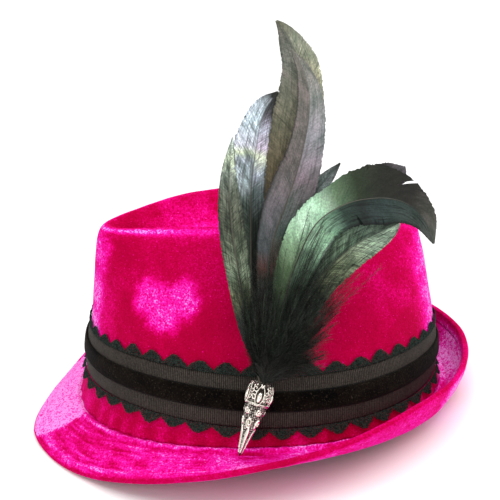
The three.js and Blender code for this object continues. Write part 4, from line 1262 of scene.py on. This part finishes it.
# %% [markdown]
# ## Cast cone
# The ornament is cast in white metal and darkened in its hollows: scrolls and an almond boss in pierced windows
# round the mouth, scrolls and small grains below them, and smooth leaves down to a blunt point. It is a turned shell
# whose surface is raised along lines drawn on the unrolled cone, and the faces in its windows are left out.

# %% The cone's profile and its scrollwork
CONE = table("along radius", [
    (0.0, 0.84), (0.1, 0.96), (0.2, 1.0), (0.3, 0.93), (0.45, 0.74), (0.65, 0.5), (0.85, 0.28), (0.93, 0.22),
    (0.985, 0.16), (1.0, 0.03),
])
REPEATS = 5


def spiral(middle, start, turns, size, shrink=0.75, count=26):
    """A scroll on the unrolled cone, which winds in towards its middle."""
    share = np.linspace(0, 1, count)
    angle = start + turns * 2 * math.pi * share
    radius = size * (1 - shrink * share)
    return np.stack([middle[0] + radius * np.cos(angle), middle[1] + radius * np.sin(angle)], 1)


def almond(middle, half_width, half_height, count=24):
    angle = np.linspace(0, 2 * math.pi, count)
    across = np.sin(angle) * np.abs(np.sin(angle)) ** 0.4
    return np.stack([middle[0] + half_width * across, middle[1] - half_height * np.cos(angle)], 1)


# Places are (millimetres round the cone at its widest, millimetres down from the mouth) in one repeat of 8.2 mm.
# A scroll is its line, its half thickness and its height. A tip is its place and its radius.
SCROLLS = [
    (almond((0, 6.6), 2.2, 5.2), 0.34, 0.7),
    (spiral((-3.2, 3.4), 0.6, 0.9, 1.7), 0.4, 0.8),
    (spiral((-3.1, 8.0), 3.6, 0.9, 1.7), 0.42, 0.8),
    (spiral((3.4, 4.6), 2.6, -0.9, 1.3), 0.36, 0.8),
    (spiral((3.1, 8.4), -0.6, -0.8, 1.5), 0.4, 0.8),
    (spiral((-1.4, 21.0), 1.2, 1.4, 2.7), 0.5, 0.9),
    (spiral((2.9, 15.0), 0.0, 1.3, 1.8), 0.45, 0.7),
]
LEAF_TOP, LEAF_FOOT, LEAF_HALF = 23.5, 37.0, 2.6
WINDOW_FOOT, RING_AT, RING_HALF, INSET = 10.6, 11.0, 0.45, 0.45
GRAINS_FROM, GRAINS_TO, GRAIN_STEP = 11.8, 37.5, 1.15
ALMOND_BOSS = (0, 7.4, 1.3, 2.9, 1.4)
TIPS = [(-3.2, 1.4, 0.7), (-0.8, 1.1, 0.6), (0.8, 1.1, 0.6), (0.0, 2.2, 0.7), (3.4, 2.2, 0.7)]


def to_line(points, line):
    """The distance from each point to a line of short straight pieces."""
    nearest = np.full(points.shape[:-1], 1e9)
    for a, b in zip(line[:-1], line[1:]):
        way = b - a
        share = np.clip(((points - a) @ way) / max(way @ way, 1e-9), 0, 1)
        nearest = np.minimum(nearest, np.linalg.norm(points - a - share[..., None] * way, axis=-1))
    return nearest


# %% Raising the casting's surface
rows, columns = 196, 228
down, spin = np.meshgrid(np.linspace(0, 1, rows), np.arange(columns) / columns, indexing="ij")
repeat = 2 * math.pi * CONE_RADIUS / REPEATS
unrolled = np.stack([((spin * REPEATS + 0.5) % 1 - 0.5) * repeat, down * CONE_LENGTH], -1)
relief = np.zeros(unrolled.shape[:-1])
solid_part = np.zeros(unrolled.shape[:-1], bool)
for line, thick, height in SCROLLS:
    for shift in (-repeat, 0, repeat):
        away = to_line(unrolled + [shift, 0], line)
        relief = np.maximum(relief, height * (1 - smooth(0.3 * thick, thick * 1.7, away)))
        solid_part |= away < thick * 1.2

# A boss is a rounded lump: its place, its half width and height, and how far it stands out.
bosses = [ALMOND_BOSS] + [(x, y, size, size, 0.9 * size) for x, y, size in TIPS]
grains = np.random.default_rng(11)
for y in np.arange(GRAINS_FROM, GRAINS_TO, GRAIN_STEP):
    squeeze = between(CONE, np.array(y / CONE_LENGTH), "radius")
    for x in np.arange(-repeat / 2 + 0.5, repeat / 2, GRAIN_STEP / squeeze):
        across, along = x + grains.uniform(-0.25, 0.25), y + grains.uniform(-0.3, 0.3)
        size = grains.uniform(0.34, 0.6)
        if abs(across) >= LEAF_HALF or along <= LEAF_TOP + 1:
            bosses.append((across, along, size / squeeze, size, 0.75 * size))
for x, y, half_width, half_height, height in bosses:
    away = np.hypot((unrolled[..., 0] - x) / half_width, (unrolled[..., 1] - y) / half_height)
    relief = np.maximum(relief, height * np.sqrt(np.clip(1 - away**2, 0, 1)))
    solid_part |= away < 1
in_leaf = (unrolled[..., 1] - LEAF_TOP) / (LEAF_FOOT - LEAF_TOP)
leaf_half = LEAF_HALF * np.sqrt(np.clip(np.minimum(in_leaf * 5, 1), 0, 1)) * (in_leaf < 1)
leaf = np.clip(1 - (unrolled[..., 0] / np.maximum(leaf_half, 0.01)) ** 2, 0, 1) * (leaf_half > 0.01)
relief = np.maximum(relief, 0.85 * np.sqrt(leaf))
in_mouth = unrolled[..., 1] < WINDOW_FOOT
pierced = in_mouth & ~solid_part
relief = np.maximum(relief, 0.4 * (np.abs(unrolled[..., 1] - RING_AT) < RING_HALF))
print("pierced share of the mouth:", round(float(pierced[in_mouth].mean()), 2))

# %% The cone's shell
radius = between(CONE, down, "radius") * CONE_RADIUS - INSET
scaled = relief * smooth(0.0, 0.25, between(CONE, down, "radius") / 0.9 + 0.1)
outer_radius = radius + scaled * np.where(down < 0.9, 1, 0.6)
angle = spin * 2 * math.pi


def on_cone(radius):
    turned = np.stack([np.sin(angle) * radius, -down * CONE_LENGTH, np.cos(angle) * radius], -1)
    return in_plume(turned @ cone_turn.T)


outer = on_cone(outer_radius)
places = grid_faces(rows, columns, ring=True)
open_corner = pierced[places[..., 0], places[..., 1] % columns].any(1)
walls = places[~open_corner]
number = walls[..., 0] * columns + walls[..., 1] % columns
sheet = close_up(new_piece("cast_silver_cone", outer, number, values={"relief": relief}), 0)
wall = sheet.modifiers.new("wall", "SOLIDIFY")
wall.thickness, wall.offset = CONE_WALL * MM, -1

silver, r, shader = new_material("antique_silver", Metallic=1.0, Roughness=0.24)
raised = r.node("ShaderNodeAttribute", attribute_name="relief").outputs["Fac"]
where = r.coordinate("Object")
patchy = r.product(r.math("SUBTRACT", r.noise(where, 900.0), 0.5), 0.5)
worn = r.math("ADD", r.stretch(raised, 0.05, 0.52), patchy, clamp=True)
r.coat(shader, r.mix(worn, paint(52, 43, 39), paint(250, 244, 232)), r.noise(where, 1500.0), 0.25, 0.2)
r.put(r.stretch(worn, 0, 1, 0.55, 0.2), shader.inputs["Roughness"])
finish_piece(sheet, [silver], "cast_silver", "cone")

# %% [markdown]
# ## Floor and light
# A pale floor and large soft lamps give the even, nearly shadowless light of the photo. A broad lamp from above
# brightens the dent and the front of the brim, and two weaker ones at the sides draw the pale edges of the velvet.

# %% Floor
FLOOR_GAP = 0.3
floor_mesh = bpy.data.meshes.new("floor")
floor_mesh.from_pydata([(-6, -6, 0), (6, -6, 0), (6, 6, 0), (-6, 6, 0)], [], [(0, 1, 2, 3)])
floor = placed("floor", floor_mesh)
floor.location.z = -FLOOR_GAP * MM
floor_paint, r, shader = new_material("pale_floor", Roughness=0.9, Specular_IOR_Level=0.1)
shader.inputs["Base Color"].default_value = (0.97, 0.97, 0.97, 1)
floor_mesh.materials.append(floor_paint)

# %% Lamps
def soft_lamp(name, place, size, power, aim=(0, 0, 0.08)):
    lamp = placed(name, bpy.data.lights.new(name, "AREA"))
    lamp.data.size, lamp.data.energy = size, power
    lamp.location = place
    lamp.rotation_euler = (Vector(aim) - Vector(place)).to_track_quat("-Z", "Y").to_euler()


soft_lamp("above", (0.3, 0.3, 2.6), 2.6, 54)
soft_lamp("front_side", (1.1, -1.0, 0.8), 0.9, 4.5)
soft_lamp("back_side", (0.5, 1.5, 1.1), 0.9, 6)
scene.world = bpy.data.worlds.new("studio")
scene.world.use_nodes = True
sky = scene.world.node_tree.nodes["Background"].inputs
sky["Color"].default_value, sky["Strength"].default_value = (1, 1, 1, 1), 0.66
scene.view_settings.view_transform = "Standard"
